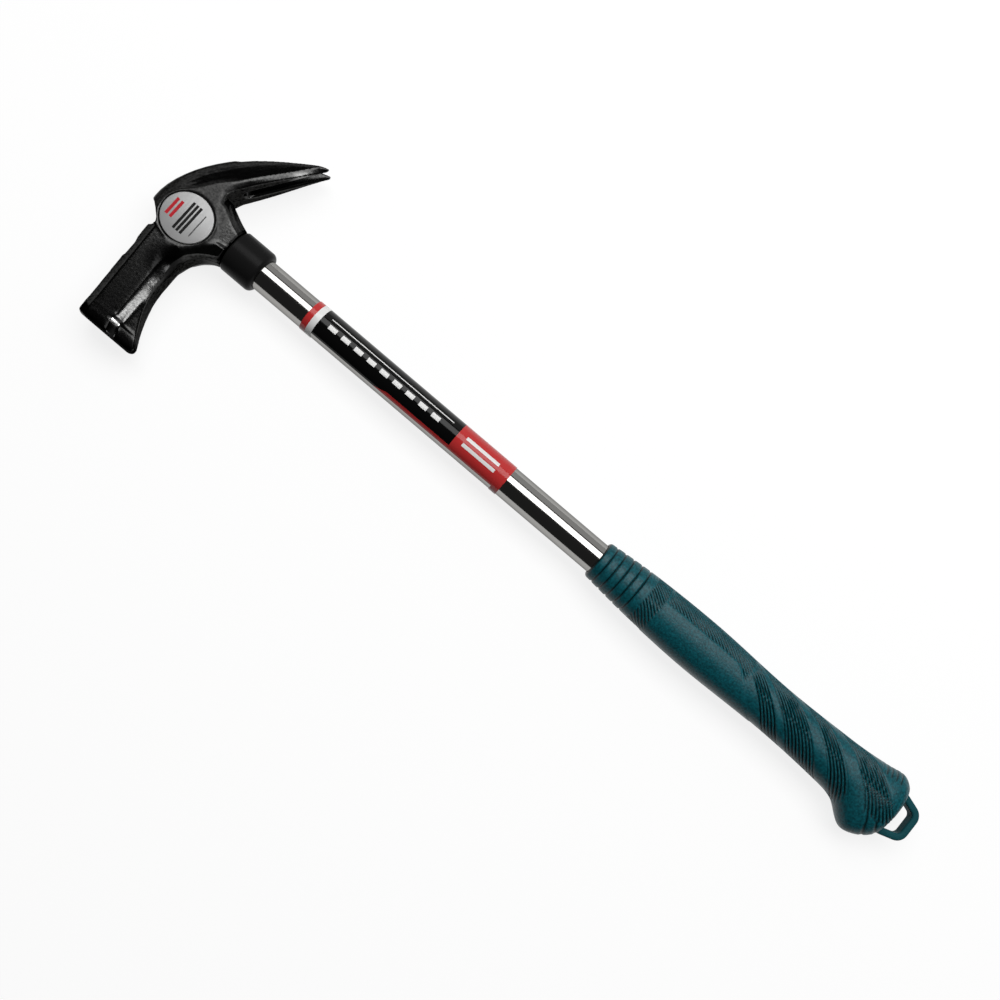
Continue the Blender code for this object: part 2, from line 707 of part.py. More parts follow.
def rest_on_origin(root, pieces):
    """Shift the whole hammer so that the middle of its underside is the origin."""
    bpy.context.view_layer.update()
    graph = bpy.context.evaluated_depsgraph_get()
    corners = []
    for piece in pieces:
        mesh = piece.evaluated_get(graph).data
        corners += [piece.matrix_world @ vert.co for vert in mesh.vertices]
    low = Vector([min(point[axis] for point in corners) for axis in range(3)])
    high = Vector([max(point[axis] for point in corners) for axis in range(3)])
    root.location = (-(low.x + high.x) / 2, -(low.y + high.y) / 2, -low.z)
    bpy.context.view_layer.update()
    print("hammer measures", [round(size / MM, 2) for size in high - low], "mm")


def main():
    clear_scene()
    root = bpy.data.objects.new("hammer", None)
    bpy.context.scene.collection.objects.link(root)
    forged = make_material("forged_black_steel", (0.02, 0.02, 0.021), 0.42, 0.6)
    magnet_steel = make_material("magnet_steel", (0.55, 0.55, 0.55), 0.35, 1.0)
    silver = make_material("badge_aluminium", (0.68, 0.68, 0.68), 0.38, 0.9)
    black_plastic = make_material("collar_plastic", (0.018, 0.018, 0.019), 0.5, 0.0)
    chrome = make_material("chromed_steel", (0.8, 0.79, 0.77), 0.12, 1.0)
    pin_steel = make_material("pin_steel", (0.45, 0.45, 0.46), 0.4, 1.0)
    film = make_material("printed_film", (0.03, 0.03, 0.03), 0.3, 0.0)
    rubber = make_material("grip_rubber", (0.012, 0.085, 0.095), 0.6, 0.0)
    loop_plastic = make_material("loop_plastic", (0.008, 0.075, 0.085), 0.42, 0.0)
    pieces = [
        make_head(root, forged),
        make_magnet(root, magnet_steel),
        make_badge(root, silver),
        make_collar(root, black_plastic),
        make_tube(root, chrome),
        make_pin(root, pin_steel),
        make_label(root, film),
        make_grip(root, rubber, loop_pocket(root)),
        make_loop(root, loop_plastic),
    ]
    rest_on_origin(root, pieces)


main()
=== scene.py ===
# %% [markdown]
# A claw hammer lies on a white table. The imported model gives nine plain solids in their
# real places. This lesson dresses them: it loads that frame, sets a camera and soft studio
# light, and then makes each piece again with a finer surface and a finish of its own.
# Sizes are written in millimetres from the crown of the head: x runs along the shaft, y points
# to the claw and z stands up from the cheek that the camera sees.

# %% Load the frame
import math

import bmesh
import bpy
from mathutils import Matrix, Vector


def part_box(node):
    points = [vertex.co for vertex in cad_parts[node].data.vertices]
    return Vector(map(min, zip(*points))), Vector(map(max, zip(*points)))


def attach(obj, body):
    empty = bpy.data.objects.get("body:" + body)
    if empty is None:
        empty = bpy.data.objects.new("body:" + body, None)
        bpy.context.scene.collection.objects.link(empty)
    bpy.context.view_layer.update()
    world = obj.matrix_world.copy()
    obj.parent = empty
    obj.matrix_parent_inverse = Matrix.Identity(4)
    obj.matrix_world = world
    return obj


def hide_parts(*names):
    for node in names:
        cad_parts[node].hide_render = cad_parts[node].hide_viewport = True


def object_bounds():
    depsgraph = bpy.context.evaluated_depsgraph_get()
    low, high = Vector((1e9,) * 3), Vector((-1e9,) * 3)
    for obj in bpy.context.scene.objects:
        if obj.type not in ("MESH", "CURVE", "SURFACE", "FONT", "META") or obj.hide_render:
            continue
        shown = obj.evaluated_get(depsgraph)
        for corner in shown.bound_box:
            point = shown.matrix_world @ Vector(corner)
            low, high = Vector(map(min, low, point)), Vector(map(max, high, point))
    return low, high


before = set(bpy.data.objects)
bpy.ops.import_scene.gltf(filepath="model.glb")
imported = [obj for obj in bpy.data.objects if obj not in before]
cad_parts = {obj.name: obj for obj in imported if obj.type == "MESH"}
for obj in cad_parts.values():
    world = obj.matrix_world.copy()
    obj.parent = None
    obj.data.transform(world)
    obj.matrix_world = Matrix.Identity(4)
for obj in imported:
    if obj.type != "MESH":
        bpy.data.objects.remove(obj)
cad_low, cad_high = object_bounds()
MM = 0.001
HAMMER_LENGTH = 450.0
tube_low, tube_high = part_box("handle_tube")
shaft_middle = (tube_low + tube_high) / 2
crown = Vector((cad_high.x - HAMMER_LENGTH * MM, shaft_middle.y, shaft_middle.z))
print("nodes", sorted(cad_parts), "crown at", tuple(round(c, 4) for c in crown))

# %% [markdown]
# Two helpers turn a bmesh into a finished piece. A bmesh is modelled in millimetres with the
# crown at its origin. The first helper scales it, moves it to its place in the frame and keeps
# the object itself at the world's origin, because patterns on Object coordinates rely on that.
# The second helper says which solid the piece stands for.


# %% Helpers for pieces
def piece_from(name, bm, materials, sharp_angle=40.0, in_millimetres=True):
    """Make a smooth object of a bmesh, with its edges above an angle kept sharp."""
    if in_millimetres:
        place = Matrix.Translation(crown) @ Matrix.Scale(MM, 4)
        bmesh.ops.transform(bm, matrix=place, verts=bm.verts)
    mesh = bpy.data.meshes.new(name)
    bm.to_mesh(mesh)
    bm.free()
    mesh.shade_smooth()
    mesh.set_sharp_from_angle(angle=math.radians(sharp_angle))
    for material in materials:
        mesh.materials.append(material)
    item = bpy.data.objects.new(name, mesh)
    bpy.context.scene.collection.objects.link(item)
    return item


def belongs(item, node=None):
    """Tie a piece to the hammer's body and the solid it stands for."""
    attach(item, "root")
    if node:
        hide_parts(node)
    triangles = sum(len(face.vertices) - 2 for face in item.data.polygons)
    print(item.name, triangles, "triangles")
    return item


# %% [markdown]
# A few small formulas come back in every shape: a mix of two values, a soft start and stop
# between 0 and 1, and a window that is open between two places. Written once here, they keep
# the later cells short. The last helper measures a solid, so that pieces take their sizes from
# the frame and not from copied numbers.


# %% Helpers for shapes
def mix(a, b, t):
    return a + (b - a) * t


def ease(t):
    """0 below 0, 1 above 1, and a smooth rise between them."""
    t = min(max(t, 0.0), 1.0)
    return t * t * (3.0 - 2.0 * t)


def window(value, start, end, soft):
    """1 between two places, fading to 0 over a soft edge."""
    return ease((value - start) / soft) * ease((end - value) / soft)


def node_box_mm(node):
    """Corners of a CAD node in millimetres from the crown."""
    low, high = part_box(node)
    return (low - crown) / MM, (high - crown) / MM


for node in ("head", "handle_tube", "grip"):
    low, high = node_box_mm(node)
    print(node, "runs from", round(low.x, 1), "to", round(high.x, 1), "mm")

# %% [markdown]
# The photograph looks almost straight down on the cheek of the hammer, from a little over
# half a metre, with the shaft running from the upper left to the lower right. The camera could
# be turned by three angles, but a matrix of three directions, right, up and back, is easier to
# check. The head is rolled a few degrees about the shaft, so the camera stands slightly on the
# poll side.

# %% Camera
CAMERA_ROLL = math.radians(6.0)
SHAFT_SLOPE = math.radians(40.34)
CAMERA_ALONG = 210.3
CAMERA_ACROSS = -8.4
CAMERA_DISTANCE = 552.0
CAMERA_NEAR = 0.01
VIEW_WIDTH = 457.0
SENSOR_WIDTH = 36.0

along = Vector((1.0, 0.0, 0.0))
across = Vector((0.0, math.cos(CAMERA_ROLL), math.sin(CAMERA_ROLL)))
back = along.cross(across)
right = along * math.cos(SHAFT_SLOPE) + across * math.sin(SHAFT_SLOPE)
up = across * math.cos(SHAFT_SLOPE) - along * math.sin(SHAFT_SLOPE)
eye = crown + (along * CAMERA_ALONG + across * CAMERA_ACROSS + back * CAMERA_DISTANCE) * MM

camera_data = bpy.data.cameras.new("photo_camera")
camera_data.sensor_width = SENSOR_WIDTH
camera_data.lens = SENSOR_WIDTH * CAMERA_DISTANCE / VIEW_WIDTH
camera_data.clip_start = CAMERA_NEAR
camera = bpy.data.objects.new("photo_camera", camera_data)
bpy.context.scene.collection.objects.link(camera)
turn = Matrix((right, up, back)).transposed().to_4x4()
camera.matrix_world = Matrix.Translation(eye) @ turn
bpy.context.scene.camera = camera
print("camera lens", round(camera_data.lens, 2), "mm at", tuple(round(c, 3) for c in eye))

# %% [markdown]
# The light is plain and the room is dim, so black steel stays black. One long soft box hangs on
# the claw side of the camera and lights everything. A paler wall of light stands lower on the
# same side. Steel and chrome are mirrors, so two more panels are there only to be mirrored: a
# narrow strip almost overhead draws the white line along the tube and gives the rubber its
# sheen, and a small card past the loop shows in the cut corner of the poll. A studio hides such
# cards from the rest of the object with black cloth. Light linking does the same later on, when
# those pieces exist.

# %% Room and lamps
scene = bpy.context.scene
scene.view_settings.view_transform = "Standard"
ROOM_GREY = 0.03
world = bpy.data.worlds.new("dim_room")
world.use_nodes = True
room = world.node_tree.nodes["Background"]
room.inputs["Color"].default_value = (ROOM_GREY, ROOM_GREY, ROOM_GREY, 1.0)
scene.world = world


def soft_box(name, place, target, width, height, watts):
    """A rectangular lamp that looks at a target; places and sizes are in metres."""
    lamp = bpy.data.lights.new(name, "AREA")
    lamp.shape = "RECTANGLE"
    lamp.size = width
    lamp.size_y = height
    lamp.energy = watts
    item = bpy.data.objects.new(name, lamp)
    scene.collection.objects.link(item)
    item.location = place
    item.rotation_euler = (Vector(target) - Vector(place)).to_track_quat("-Z", "Y").to_euler()
    print("lamp", name, watts, "W")
    return item


soft_box("key_soft_box", place=(-0.10, 0.49, 1.10), target=(-0.10, 0.0, 0.0),
         width=1.7, height=0.70, watts=15.0)
soft_box("claw_side_wall", place=(0.15, 1.05, 0.45), target=(0.15, 0.0, 0.25),
         width=1.7, height=0.85, watts=2.4)
shaft_strip = soft_box("shaft_strip", place=(0.175, 0.13, 1.235), target=(0.175, 0.0, 0.0),
                       width=1.15, height=0.10, watts=2.0)
poll_card = soft_box("poll_card", place=(0.90, -0.07, 0.176), target=(-0.20, -0.045, 0.02),
                     width=0.30, height=0.236, watts=4.0)
for card in (shaft_strip, poll_card):
    card.visible_diffuse = False

# %% [markdown]
# A finish is a tree of nodes. By hand that is a few clicks in the editor. In a script the same
# few lines would come back for every maths node, so two helpers take them up: one puts values
# through a maths node, the other spreads a value from one range over another.

# %% Helpers for node trees
VECTOR_MATHS = "ShaderNodeVectorMath"


def through(tree, operation, *values, kind="ShaderNodeMath", output=0):
    """Put sockets or plain values through a maths node and give one of its outputs."""
    node = tree.nodes.new(kind)
    node.operation = operation
    for socket, value in zip(node.inputs, values):
        if isinstance(value, bpy.types.NodeSocket):
            tree.links.new(value, socket)
        else:
            socket.default_value = value
    return node.outputs[output]


def spread(tree, value, start, end, low=0.0, high=1.0, soft=False):
    """Spread a value from the range start to end over the range low to high."""
    node = tree.nodes.new("ShaderNodeMapRange")
    node.interpolation_type = "SMOOTHSTEP" if soft else "LINEAR"
    for name, number in (("From Min", start), ("From Max", end), ("To Min", low), ("To Max", high)):
        node.inputs[name].default_value = number
    tree.links.new(value, node.inputs["Value"])
    return node.outputs["Result"]


# %% [markdown]
# The table is a sheet of white paper. Lit brightly enough to look white, it would throw light
# up at the black steel. So the paper is grey to the lamps, which keeps the shadow, and adds a
# little light of its own only where the camera or a mirror looks at it.

# %% Table
TABLE_SIZE = 6.0
TABLE_WHITE = 0.20
TABLE_GLOW = 0.84
bm = bmesh.new()
bmesh.ops.create_grid(bm, x_segments=1, y_segments=1, size=TABLE_SIZE / 2)
paper = bpy.data.materials.new("white_paper")
paper.use_nodes = True
tree = paper.node_tree
tree.nodes.clear()
matte = tree.nodes.new("ShaderNodeBsdfDiffuse")
matte.inputs["Color"].default_value = (TABLE_WHITE, TABLE_WHITE, TABLE_WHITE, 1.0)
path = tree.nodes.new("ShaderNodeLightPath")
seen = path.outputs["Is Camera Ray"]
for mirrored in ("Is Glossy Ray", "Is Transmission Ray"):
    seen = through(tree, "MAXIMUM", seen, path.outputs[mirrored])
glow = tree.nodes.new("ShaderNodeEmission")
tree.links.new(through(tree, "MULTIPLY", seen, TABLE_GLOW), glow.inputs["Strength"])
both = tree.nodes.new("ShaderNodeAddShader")
tree.links.new(matte.outputs[0], both.inputs[0])
tree.links.new(glow.outputs[0], both.inputs[1])
output = tree.nodes.new("ShaderNodeOutputMaterial")
tree.links.new(both.outputs[0], output.inputs["Surface"])
table = piece_from("table", bm, [paper], in_millimetres=False)
print("table", TABLE_SIZE, "m wide")

# %% [markdown]
# Every finish starts from the same small helper: a Principled shader with its constants set on
# its own sockets. Noise in Object coordinates then moves its colour, its gloss or its surface.
# Noise sizes are given in millimetres, so a grain has the size of the real one. A picture of
# the surface could do this too, but noise has no seams and never runs out of detail.


# %% Helpers for finishes
def shader_of(material):
    return material.node_tree.nodes["Principled BSDF"]


def finish(name, colour, roughness, metallic=0.0, specular=0.5):
    material = bpy.data.materials.new(name)
    material.use_nodes = True
    shader = shader_of(material)
    shader.inputs["Base Color"].default_value = (*colour, 1.0)
    shader.inputs["Roughness"].default_value = roughness
    shader.inputs["Metallic"].default_value = metallic
    shader.inputs["Specular IOR Level"].default_value = specular
    print("finish", name)
    return material


def object_place(tree):
    return tree.nodes.new("ShaderNodeTexCoord").outputs["Object"]


def grain(material, size_mm, detail=4.0, stretch=(1.0, 1.0, 1.0)):
    """Noise of a given grain size in Object coordinates."""
    tree = material.node_tree
    scale = tree.nodes.new("ShaderNodeMapping")
    scale.inputs["Scale"].default_value = stretch
    pattern = tree.nodes.new("ShaderNodeTexNoise")
    pattern.inputs["Scale"].default_value = 1.0 / (size_mm * MM)
    pattern.inputs["Detail"].default_value = detail
    tree.links.new(object_place(tree), scale.inputs["Vector"])
    tree.links.new(scale.outputs["Vector"], pattern.inputs["Vector"])
    return pattern.outputs["Fac"]


# %% [markdown]
# A pattern can move three things: how matt the finish is, which tone it has, and how high the
# surface stands. Noise stays mostly near the middle of its range, so only that middle part is
# spread over the two values.

# %% Helpers for patterns
GLOSS_SPAN = (0.3, 0.7)
TONE_SPAN = (0.32, 0.68)


def gloss(material, pattern, low, high):
    """Let a pattern move the roughness between two values."""
    tree = material.node_tree
    roughness = spread(tree, pattern, *GLOSS_SPAN, low, high)
    tree.links.new(roughness, shader_of(material).inputs["Roughness"])


def tint(material, pattern, dark, light, span=TONE_SPAN):
    """Let a pattern move the colour between two tones."""
    tree = material.node_tree
    ramp = tree.nodes.new("ShaderNodeValToRGB")
    for element, position, tone in zip(ramp.color_ramp.elements, span, (dark, light)):
        element.position = position
        element.color = (*tone, 1.0)
    tree.links.new(pattern, ramp.inputs["Fac"])
    tree.links.new(ramp.outputs["Color"], shader_of(material).inputs["Base Color"])


def roughen(material, pattern, depth_mm, strength=1.0):
    """Let a pattern raise the surface as a bump."""
    tree = material.node_tree
    bump = tree.nodes.new("ShaderNodeBump")
    bump.inputs["Distance"].default_value = depth_mm * MM
    bump.inputs["Strength"].default_value = strength
    tree.links.new(pattern, bump.inputs["Height"])
    tree.links.new(bump.outputs["Normal"], shader_of(material).inputs["Normal"])


# %% [markdown]
# The head is drop-forged steel, blackened in oil. Its skin isn't smooth: the die leaves a fine
# pebbled grain. A noise of about a millimetre gives the grain, and another speckles the tone.
# A metal's Specular Tint sets how bright it is at a glancing angle. The outline of this head
# stays dark, so the tint is dark.

# %% Black steel
STEEL_DARK = (0.028, 0.028, 0.028)
STEEL_LIGHT = (0.058, 0.058, 0.057)
STEEL_EDGE = (0.35, 0.35, 0.35, 1.0)
CHEEK_ROUGHNESS = 0.43
POLISHED_ROUGHNESS = 0.19
forged = finish("forged_black_steel", STEEL_DARK, POLISHED_ROUGHNESS, metallic=1.0)
shader_of(forged).inputs["Specular Tint"].default_value = STEEL_EDGE
roughen(forged, grain(forged, 1.2, detail=2.0), depth_mm=0.045, strength=0.7)
tint(forged, grain(forged, 1.1, detail=3.0), STEEL_DARK, STEEL_LIGHT)

# %% [markdown]
# Painted highlights and painted shade go in certain places, so the finish must know where it is.
# Painting a mask would do, but a mask from Object coordinates stays part of the material and
# needs no picture. Each helper gives a share from 0 to 1: near a place, near a straight line, or
# beyond a place along one axis.


# %% Helpers for marks
def world_place(spot):
    return crown + Vector(spot) * MM


def fade_out(tree, gap, inner_mm, outer_mm):
    """1 where a vector is shorter than an inner length, 0 where it is longer than an outer one."""
    away = through(tree, "LENGTH", gap, kind=VECTOR_MATHS, output="Value")
    return spread(tree, away, inner_mm * MM, outer_mm * MM, 1.0, 0.0, soft=True)


def near_place(material, spot, inner_mm, outer_mm, squeeze=(1.0, 1.0, 1.0)):
    """1 near a spot; squeeze makes the round mark narrower along an axis."""
    tree = material.node_tree
    gap = through(tree, "SUBTRACT", object_place(tree), world_place(spot), kind=VECTOR_MATHS)
    gap = through(tree, "MULTIPLY", gap, squeeze, kind=VECTOR_MATHS)
    return fade_out(tree, gap, inner_mm, outer_mm)


def near_line(material, spot, way, inner_mm, outer_mm):
    """1 near a straight line through a spot."""
    tree = material.node_tree
    gap = through(tree, "SUBTRACT", object_place(tree), world_place(spot), kind=VECTOR_MATHS)
    beside = through(tree, "CROSS_PRODUCT", gap, Vector(way).normalized(), kind=VECTOR_MATHS)
    return fade_out(tree, beside, inner_mm, outer_mm)


def beyond(material, axis, low_mm, high_mm):
    """0 up to one place along an axis, 1 past another."""
    tree = material.node_tree
    split = tree.nodes.new("ShaderNodeSeparateXYZ")
    tree.links.new(object_place(tree), split.inputs[0])
    start = getattr(crown, axis.lower())
    return spread(tree, split.outputs[axis], start + low_mm * MM, start + high_mm * MM, soft=True)


# %% [markdown]
# A mark is a tone that is laid over the colour so far, like a thin coat of paint. A Mix node
# does that, with the share of the mark as its factor.


# %% Helper for a tone over a finish
def overlay(material, share, tone):
    """Lay a tone over the colour that a finish has so far."""
    tree = material.node_tree
    base = shader_of(material).inputs["Base Color"]
    blend = tree.nodes.new("ShaderNodeMix")
    blend.data_type = "RGBA"
    under, over = [socket for socket in blend.inputs if socket.type == "RGBA"]
    over.default_value = tone
    tree.links.new(share, blend.inputs["Factor"])
    tree.links.new(base.links[0].from_socket, under)
    result = [socket for socket in blend.outputs if socket.type == "RGBA"][0]
    tree.links.new(result, base)


# %% [markdown]
# A painted highlight lies on the steel: a light tone along the near edge of the claw's slot and
# at the nick above the striking face. The first mark is the overlap of a line and a place, so
# it fades towards both ends of the edge.

# %% Painted highlights
PAINTED_HIGHLIGHT_TONE = (0.30, 0.30, 0.295, 1.0)
PRONG_EDGE = (34.2, 35.6, 6.0)
PRONG_WAY = (0.768, 0.640, -0.05)
PRONG_HIGHLIGHT = (38.5, 39.0, 6.0)
NICK_HIGHLIGHT = (28.2, -60.2, 9.5)
NICK_SQUEEZE = (1.0, 2.6, 0.8)
tree = forged.node_tree
on_prong = near_line(forged, PRONG_EDGE, PRONG_WAY, inner_mm=1.0, outer_mm=3.0)
prong_middle = near_place(forged, PRONG_HIGHLIGHT, inner_mm=7.0, outer_mm=18.0)
nick_highlight = near_place(forged, NICK_HIGHLIGHT, inner_mm=2.6, outer_mm=3.8, squeeze=NICK_SQUEEZE)
painted_highlight = through(tree, "MAXIMUM", through(tree, "MULTIPLY", on_prong, prong_middle), nick_highlight)
# The light tone at both places is a painted highlight.
overlay(forged, painted_highlight, PAINTED_HIGHLIGHT_TONE)
print("worn places at", PRONG_HIGHLIGHT, NICK_HIGHLIGHT)

# %% [markdown]
# Painted shade darkens the steel at the joint with the collar, round the rim of the striking face
# and in the corner between neck and poll. The strongest of the three marks counts, so they join
# without a seam.

# %% Painted shade
PAINTED_SHADE_TONE = (0.010, 0.010, 0.010, 1.0)
COLLAR_JOINT = (44.0, 0.0, 0.0)
JOINT_SPAN = (42.2, 43.2)
FACE_RIM_SPAN = (-60.8, -62.6)
DARK_CORNER = (26.5, -25.5, 10.0)
near_joint = near_place(forged, COLLAR_JOINT, inner_mm=14.0, outer_mm=17.0)
joint = through(tree, "MULTIPLY", beyond(forged, "X", *JOINT_SPAN), near_joint)
face_rim = beyond(forged, "Y", *FACE_RIM_SPAN)
dark_corner = near_place(forged, DARK_CORNER, inner_mm=4.5, outer_mm=11.5)
scale = through(tree, "MAXIMUM", through(tree, "MAXIMUM", joint, face_rim), dark_corner)
# The near-black tone at all three places is painted shade.
overlay(forged, scale, PAINTED_SHADE_TONE)
print("dark places at", COLLAR_JOINT, DARK_CORNER)

# %% [markdown]
# The flat cheek round the badge is rougher than the rest, so it shows an even grey and no clear
# mirror. The mark is round, but it counts only on what stands as high as the cheek.

# %% Rough cheek
CHEEK_MIDDLE = (26.5, 3.5, 11.5)
CHEEK_SPAN = (10.4, 11.4)
near_cheek = near_place(forged, CHEEK_MIDDLE, inner_mm=13.0, outer_mm=25.0)
on_cheek = through(tree, "MULTIPLY", near_cheek, beyond(forged, "Z", *CHEEK_SPAN))
roughness = spread(tree, on_cheek, 0.0, 1.0, POLISHED_ROUGHNESS, CHEEK_ROUGHNESS)
tree.links.new(roughness, shader_of(forged).inputs["Roughness"])
print("steel tree", len(tree.nodes), "nodes")

# %% [markdown]
# The CAD head has the right forms with crisp edges. Forging rounds every edge by about half a
# millimetre. A bevel would have to find its way round a claw of many narrow faces, so a voxel
# remesh of a merged copy gives an even net of small faces instead, and a few rounds of smoothing
# melt the edges the way the die does.

# %% Even net of the head
MERGE_DISTANCE = 0.002
HEAD_VOXEL = 0.42
HEAD_ROUNDS = 5


def even_copy(node, voxel_mm):
    """A merged copy of a CAD solid with an even net of faces, in millimetres from the crown."""
    bm = bmesh.new()
    bm.from_mesh(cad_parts[node].data)
    bmesh.ops.remove_doubles(bm, verts=bm.verts, dist=MERGE_DISTANCE * MM)
    rough = piece_from("rough_" + node, bm, [], in_millimetres=False)
    remesh = rough.modifiers.new("even net", "REMESH")
    remesh.mode = "VOXEL"
    remesh.voxel_size = voxel_mm * MM
    graph = bpy.context.evaluated_depsgraph_get()
    bm = bmesh.new()
    bm.from_mesh(rough.evaluated_get(graph).data)
    bpy.data.objects.remove(rough)
    to_millimetres = Matrix.Scale(1.0 / MM, 4) @ Matrix.Translation(-crown)
    bmesh.ops.transform(bm, matrix=to_millimetres, verts=bm.verts)
    return bm


def melt(bm, verts, rounds, axes="xyz"):
    """Smooth some points a number of times, along all axes or only some."""
    for _ in range(rounds):
        bmesh.ops.smooth_vert(bm, verts=verts, factor=0.5, use_axis_x="x" in axes,
                              use_axis_y="y" in axes, use_axis_z="z" in axes)


head_net = even_copy("head", HEAD_VOXEL)
melt(head_net, head_net.verts, HEAD_ROUNDS)
print("head net", len(head_net.verts), "points")

# %% [markdown]
# The neck meets the poll in a soft hollow, where the CAD has a crease. Smoothing only the points
# near the crease fills it. The reach shrinks in steps, so that the middle melts most and the
# border least.

# %% Hollow between neck and poll
NECK_CROTCH = Vector((27.5, -21.0, 10.0))
CROTCH_REACHES = (9.0, 7.5, 6.0, 4.5)
CROTCH_ROUNDS = 30
for reach in CROTCH_REACHES:
    crotch = [vert for vert in head_net.verts if (vert.co - NECK_CROTCH).length < reach]
    melt(head_net, crotch, CROTCH_ROUNDS)
    print("hollow of", reach, "mm has", len(crotch), "points")

# %% [markdown]
# On the poll side, the flat cheek ends at a foot line that sweeps from the collar to the poll.
# Below it the neck falls away. The line is drawn with a few points, and a helper measures how
# far a spot lies past the nearest stretch of it.

# %% Foot line of the cheek
CHEEK_FOOT = ((54.0, -1.4), (38.2, -3.6), (31.5, -11.3), (28.5, -16.0), (26.5, -22.0), (26.5, -34.0))


def past_foot(spot):
    """How far a spot lies below the foot line of the cheek, on the shaft side."""
    here = Vector((spot.x, spot.y))
    nearest = None
    for start, end in zip(CHEEK_FOOT, CHEEK_FOOT[1:]):
        start, end = Vector(start), Vector(end)
        run = end - start
        t = min(max((here - start).dot(run) / run.length_squared, 0.0), 1.0)
        gap = here - (start + run * t)
        if nearest is None or gap.length < abs(nearest):
            nearest = math.copysign(gap.length, run.y * gap.x - run.x * gap.y)
    return -nearest


foot_runs = [Vector(end) - Vector(start) for start, end in zip(CHEEK_FOOT, CHEEK_FOOT[1:])]
print("foot line", round(sum(run.length for run in foot_runs), 1), "mm long")

# %% [markdown]
# The scooped slope could be cut with a boolean, which would leave a hard edge to be melted
# again. It is simpler to set every point of the net past the foot line to a height that drops
# with its distance from it, on both cheeks. Then the slope and a narrow border are smoothed, so
# that it runs into the cheek without a ridge.

# %% Scooped underside of the neck
CHEEK_HEIGHT = 11.75
SCOOP_SLOPE = 0.55
SCOOP_ALONG = (24.0, 54.0)
SCOOP_ACROSS = (-34.0, 0.0)
SCOOP_ABOVE = 5.0
SCOOP_FADE_FROM = -27.0
SCOOP_FADE_OVER = 7.0
FACING_UP = 0.3
BORDER_WIDTH = 3.0
BORDER_ABOVE = 9.0
SCOOP_ROUNDS = 14
BORDER_ROUNDS = 10


def within(value, limits):
    return limits[0] < value < limits[1]


head_net.normal_update()
scooped = []
border = []
for vert in head_net.verts:
    spot = vert.co.copy()
    if not (within(spot.x, SCOOP_ALONG) and within(spot.y, SCOOP_ACROSS) and abs(spot.z) > SCOOP_ABOVE):
        continue
    past = past_foot(spot)
    height = CHEEK_HEIGHT - SCOOP_SLOPE * past
    if past > 0.0 and (abs(vert.normal.z) > FACING_UP or abs(spot.z) > height):
        height = mix(abs(spot.z), height, ease((spot.y - SCOOP_FADE_FROM) / SCOOP_FADE_OVER))
        vert.co.z = math.copysign(height, spot.z)
        scooped.append(vert)
    elif -BORDER_WIDTH < past <= 0.0 and abs(spot.z) > BORDER_ABOVE:
        border.append(vert)
melt(head_net, scooped, SCOOP_ROUNDS)
melt(head_net, scooped + border, BORDER_ROUNDS)
print("scooped", len(scooped), "points, border", len(border))

# %% [markdown]
# The poll is eight-sided: between its flat and its flank runs a cut corner that leans outwards
# on the way to the striking face. One formula says how far across the corner a spot lies, so
# that whatever is done to the corner can fade out on the faces beside it.

# %% Measure of the cut corner
CORNER_WAY = Vector((0.758, 0.0, 0.652))
CORNER_INNER = 25.0
CORNER_WIDTH = 5.4
CORNER_LEAN = 2.9
CORNER_LEAN_FROM = 16.9
CORNER_LEAN_OVER = 50.1
CORNER_NARROWING = 0.7
CORNER_MARGIN = 0.35
CORNER_FADE = 0.6
CORNER_ABOVE = 4.0


def past_corner(spot):
    """Place across the cut corner of the poll: 0 at the flat's edge, 1 at the flank's."""
    lean = CORNER_LEAN * (-spot.y - CORNER_LEAN_FROM) / CORNER_LEAN_OVER
    return (spot.x - CORNER_INNER - lean) / (CORNER_WIDTH - CORNER_NARROWING * lean)


def corner_share(spot):
    """1 on the cut corner, fading to 0 on the flat and the flank."""
    if abs(spot.z) <= CORNER_ABOVE:
        return 0.0
    return window(past_corner(spot), -CORNER_MARGIN, 1.0 + CORNER_MARGIN, CORNER_FADE)


def corner_outward(spot):
    """Direction that the cut corner faces, on the cheek that a spot belongs to."""
    return Vector((CORNER_WAY.x, 0.0, math.copysign(CORNER_WAY.z, spot.z)))


print("points on the cut corner", sum(corner_share(vert.co) == 1.0 for vert in head_net.verts))

# %% [markdown]
# At its upper end the corner is drawn in and melts into the hollow of the neck. The draw is
# greatest at the top and runs out about half way down the poll. Smoothing the corner first,
# then its root and then all that lies beside it keeps the long highlight straight.

# %% Upper end of the cut corner
CORNER_FROM = 17.0
CORNER_TO = 34.0
CORNER_DRAW = 0.06
CORNER_START = 2.0
CORNER_FULL_AT = 0.5
CORNER_SMOOTH_TO = 57.0
CORNER_ROOT = Vector((29.0, -26.5, 8.5))
CORNER_ROOT_REACH = 6.0
CORNER_ROUNDS = 24
CORNER_ROOT_ROUNDS = 40
BESIDE_ROUNDS = 12
cut_corner = []
beside_corner = []
for vert in head_net.verts:
    spot = vert.co.copy()
    down = -spot.y
    share = corner_share(spot)
    if not CORNER_FROM < down < CORNER_SMOOTH_TO or share == 0.0:
        continue
    draw = CORNER_DRAW * max(CORNER_TO - down, 0.0) * ease((down - CORNER_FROM) / CORNER_START)
    vert.co -= corner_outward(spot) * draw * share * ease(past_corner(spot) / CORNER_FULL_AT)
    beside_corner.append(vert)
    if share > 0.5:
        cut_corner.append(vert)
corner_root = [vert for vert in head_net.verts if (vert.co - CORNER_ROOT).length < CORNER_ROOT_REACH]
melt(head_net, cut_corner, CORNER_ROUNDS)
melt(head_net, corner_root, CORNER_ROOT_ROUNDS)
melt(head_net, beside_corner, BESIDE_ROUNDS)
print("cut corner", len(cut_corner), "points, beside it", len(beside_corner))

# %% [markdown]
# Just above the striking face the poll steps in by less than a millimetre, has a nick across
# its cut corner and flares out again to the rim. Such small steps could be cut with loop cuts
# and an inset, but the net is already fine enough to be moved by a formula of the distance down
# the poll.

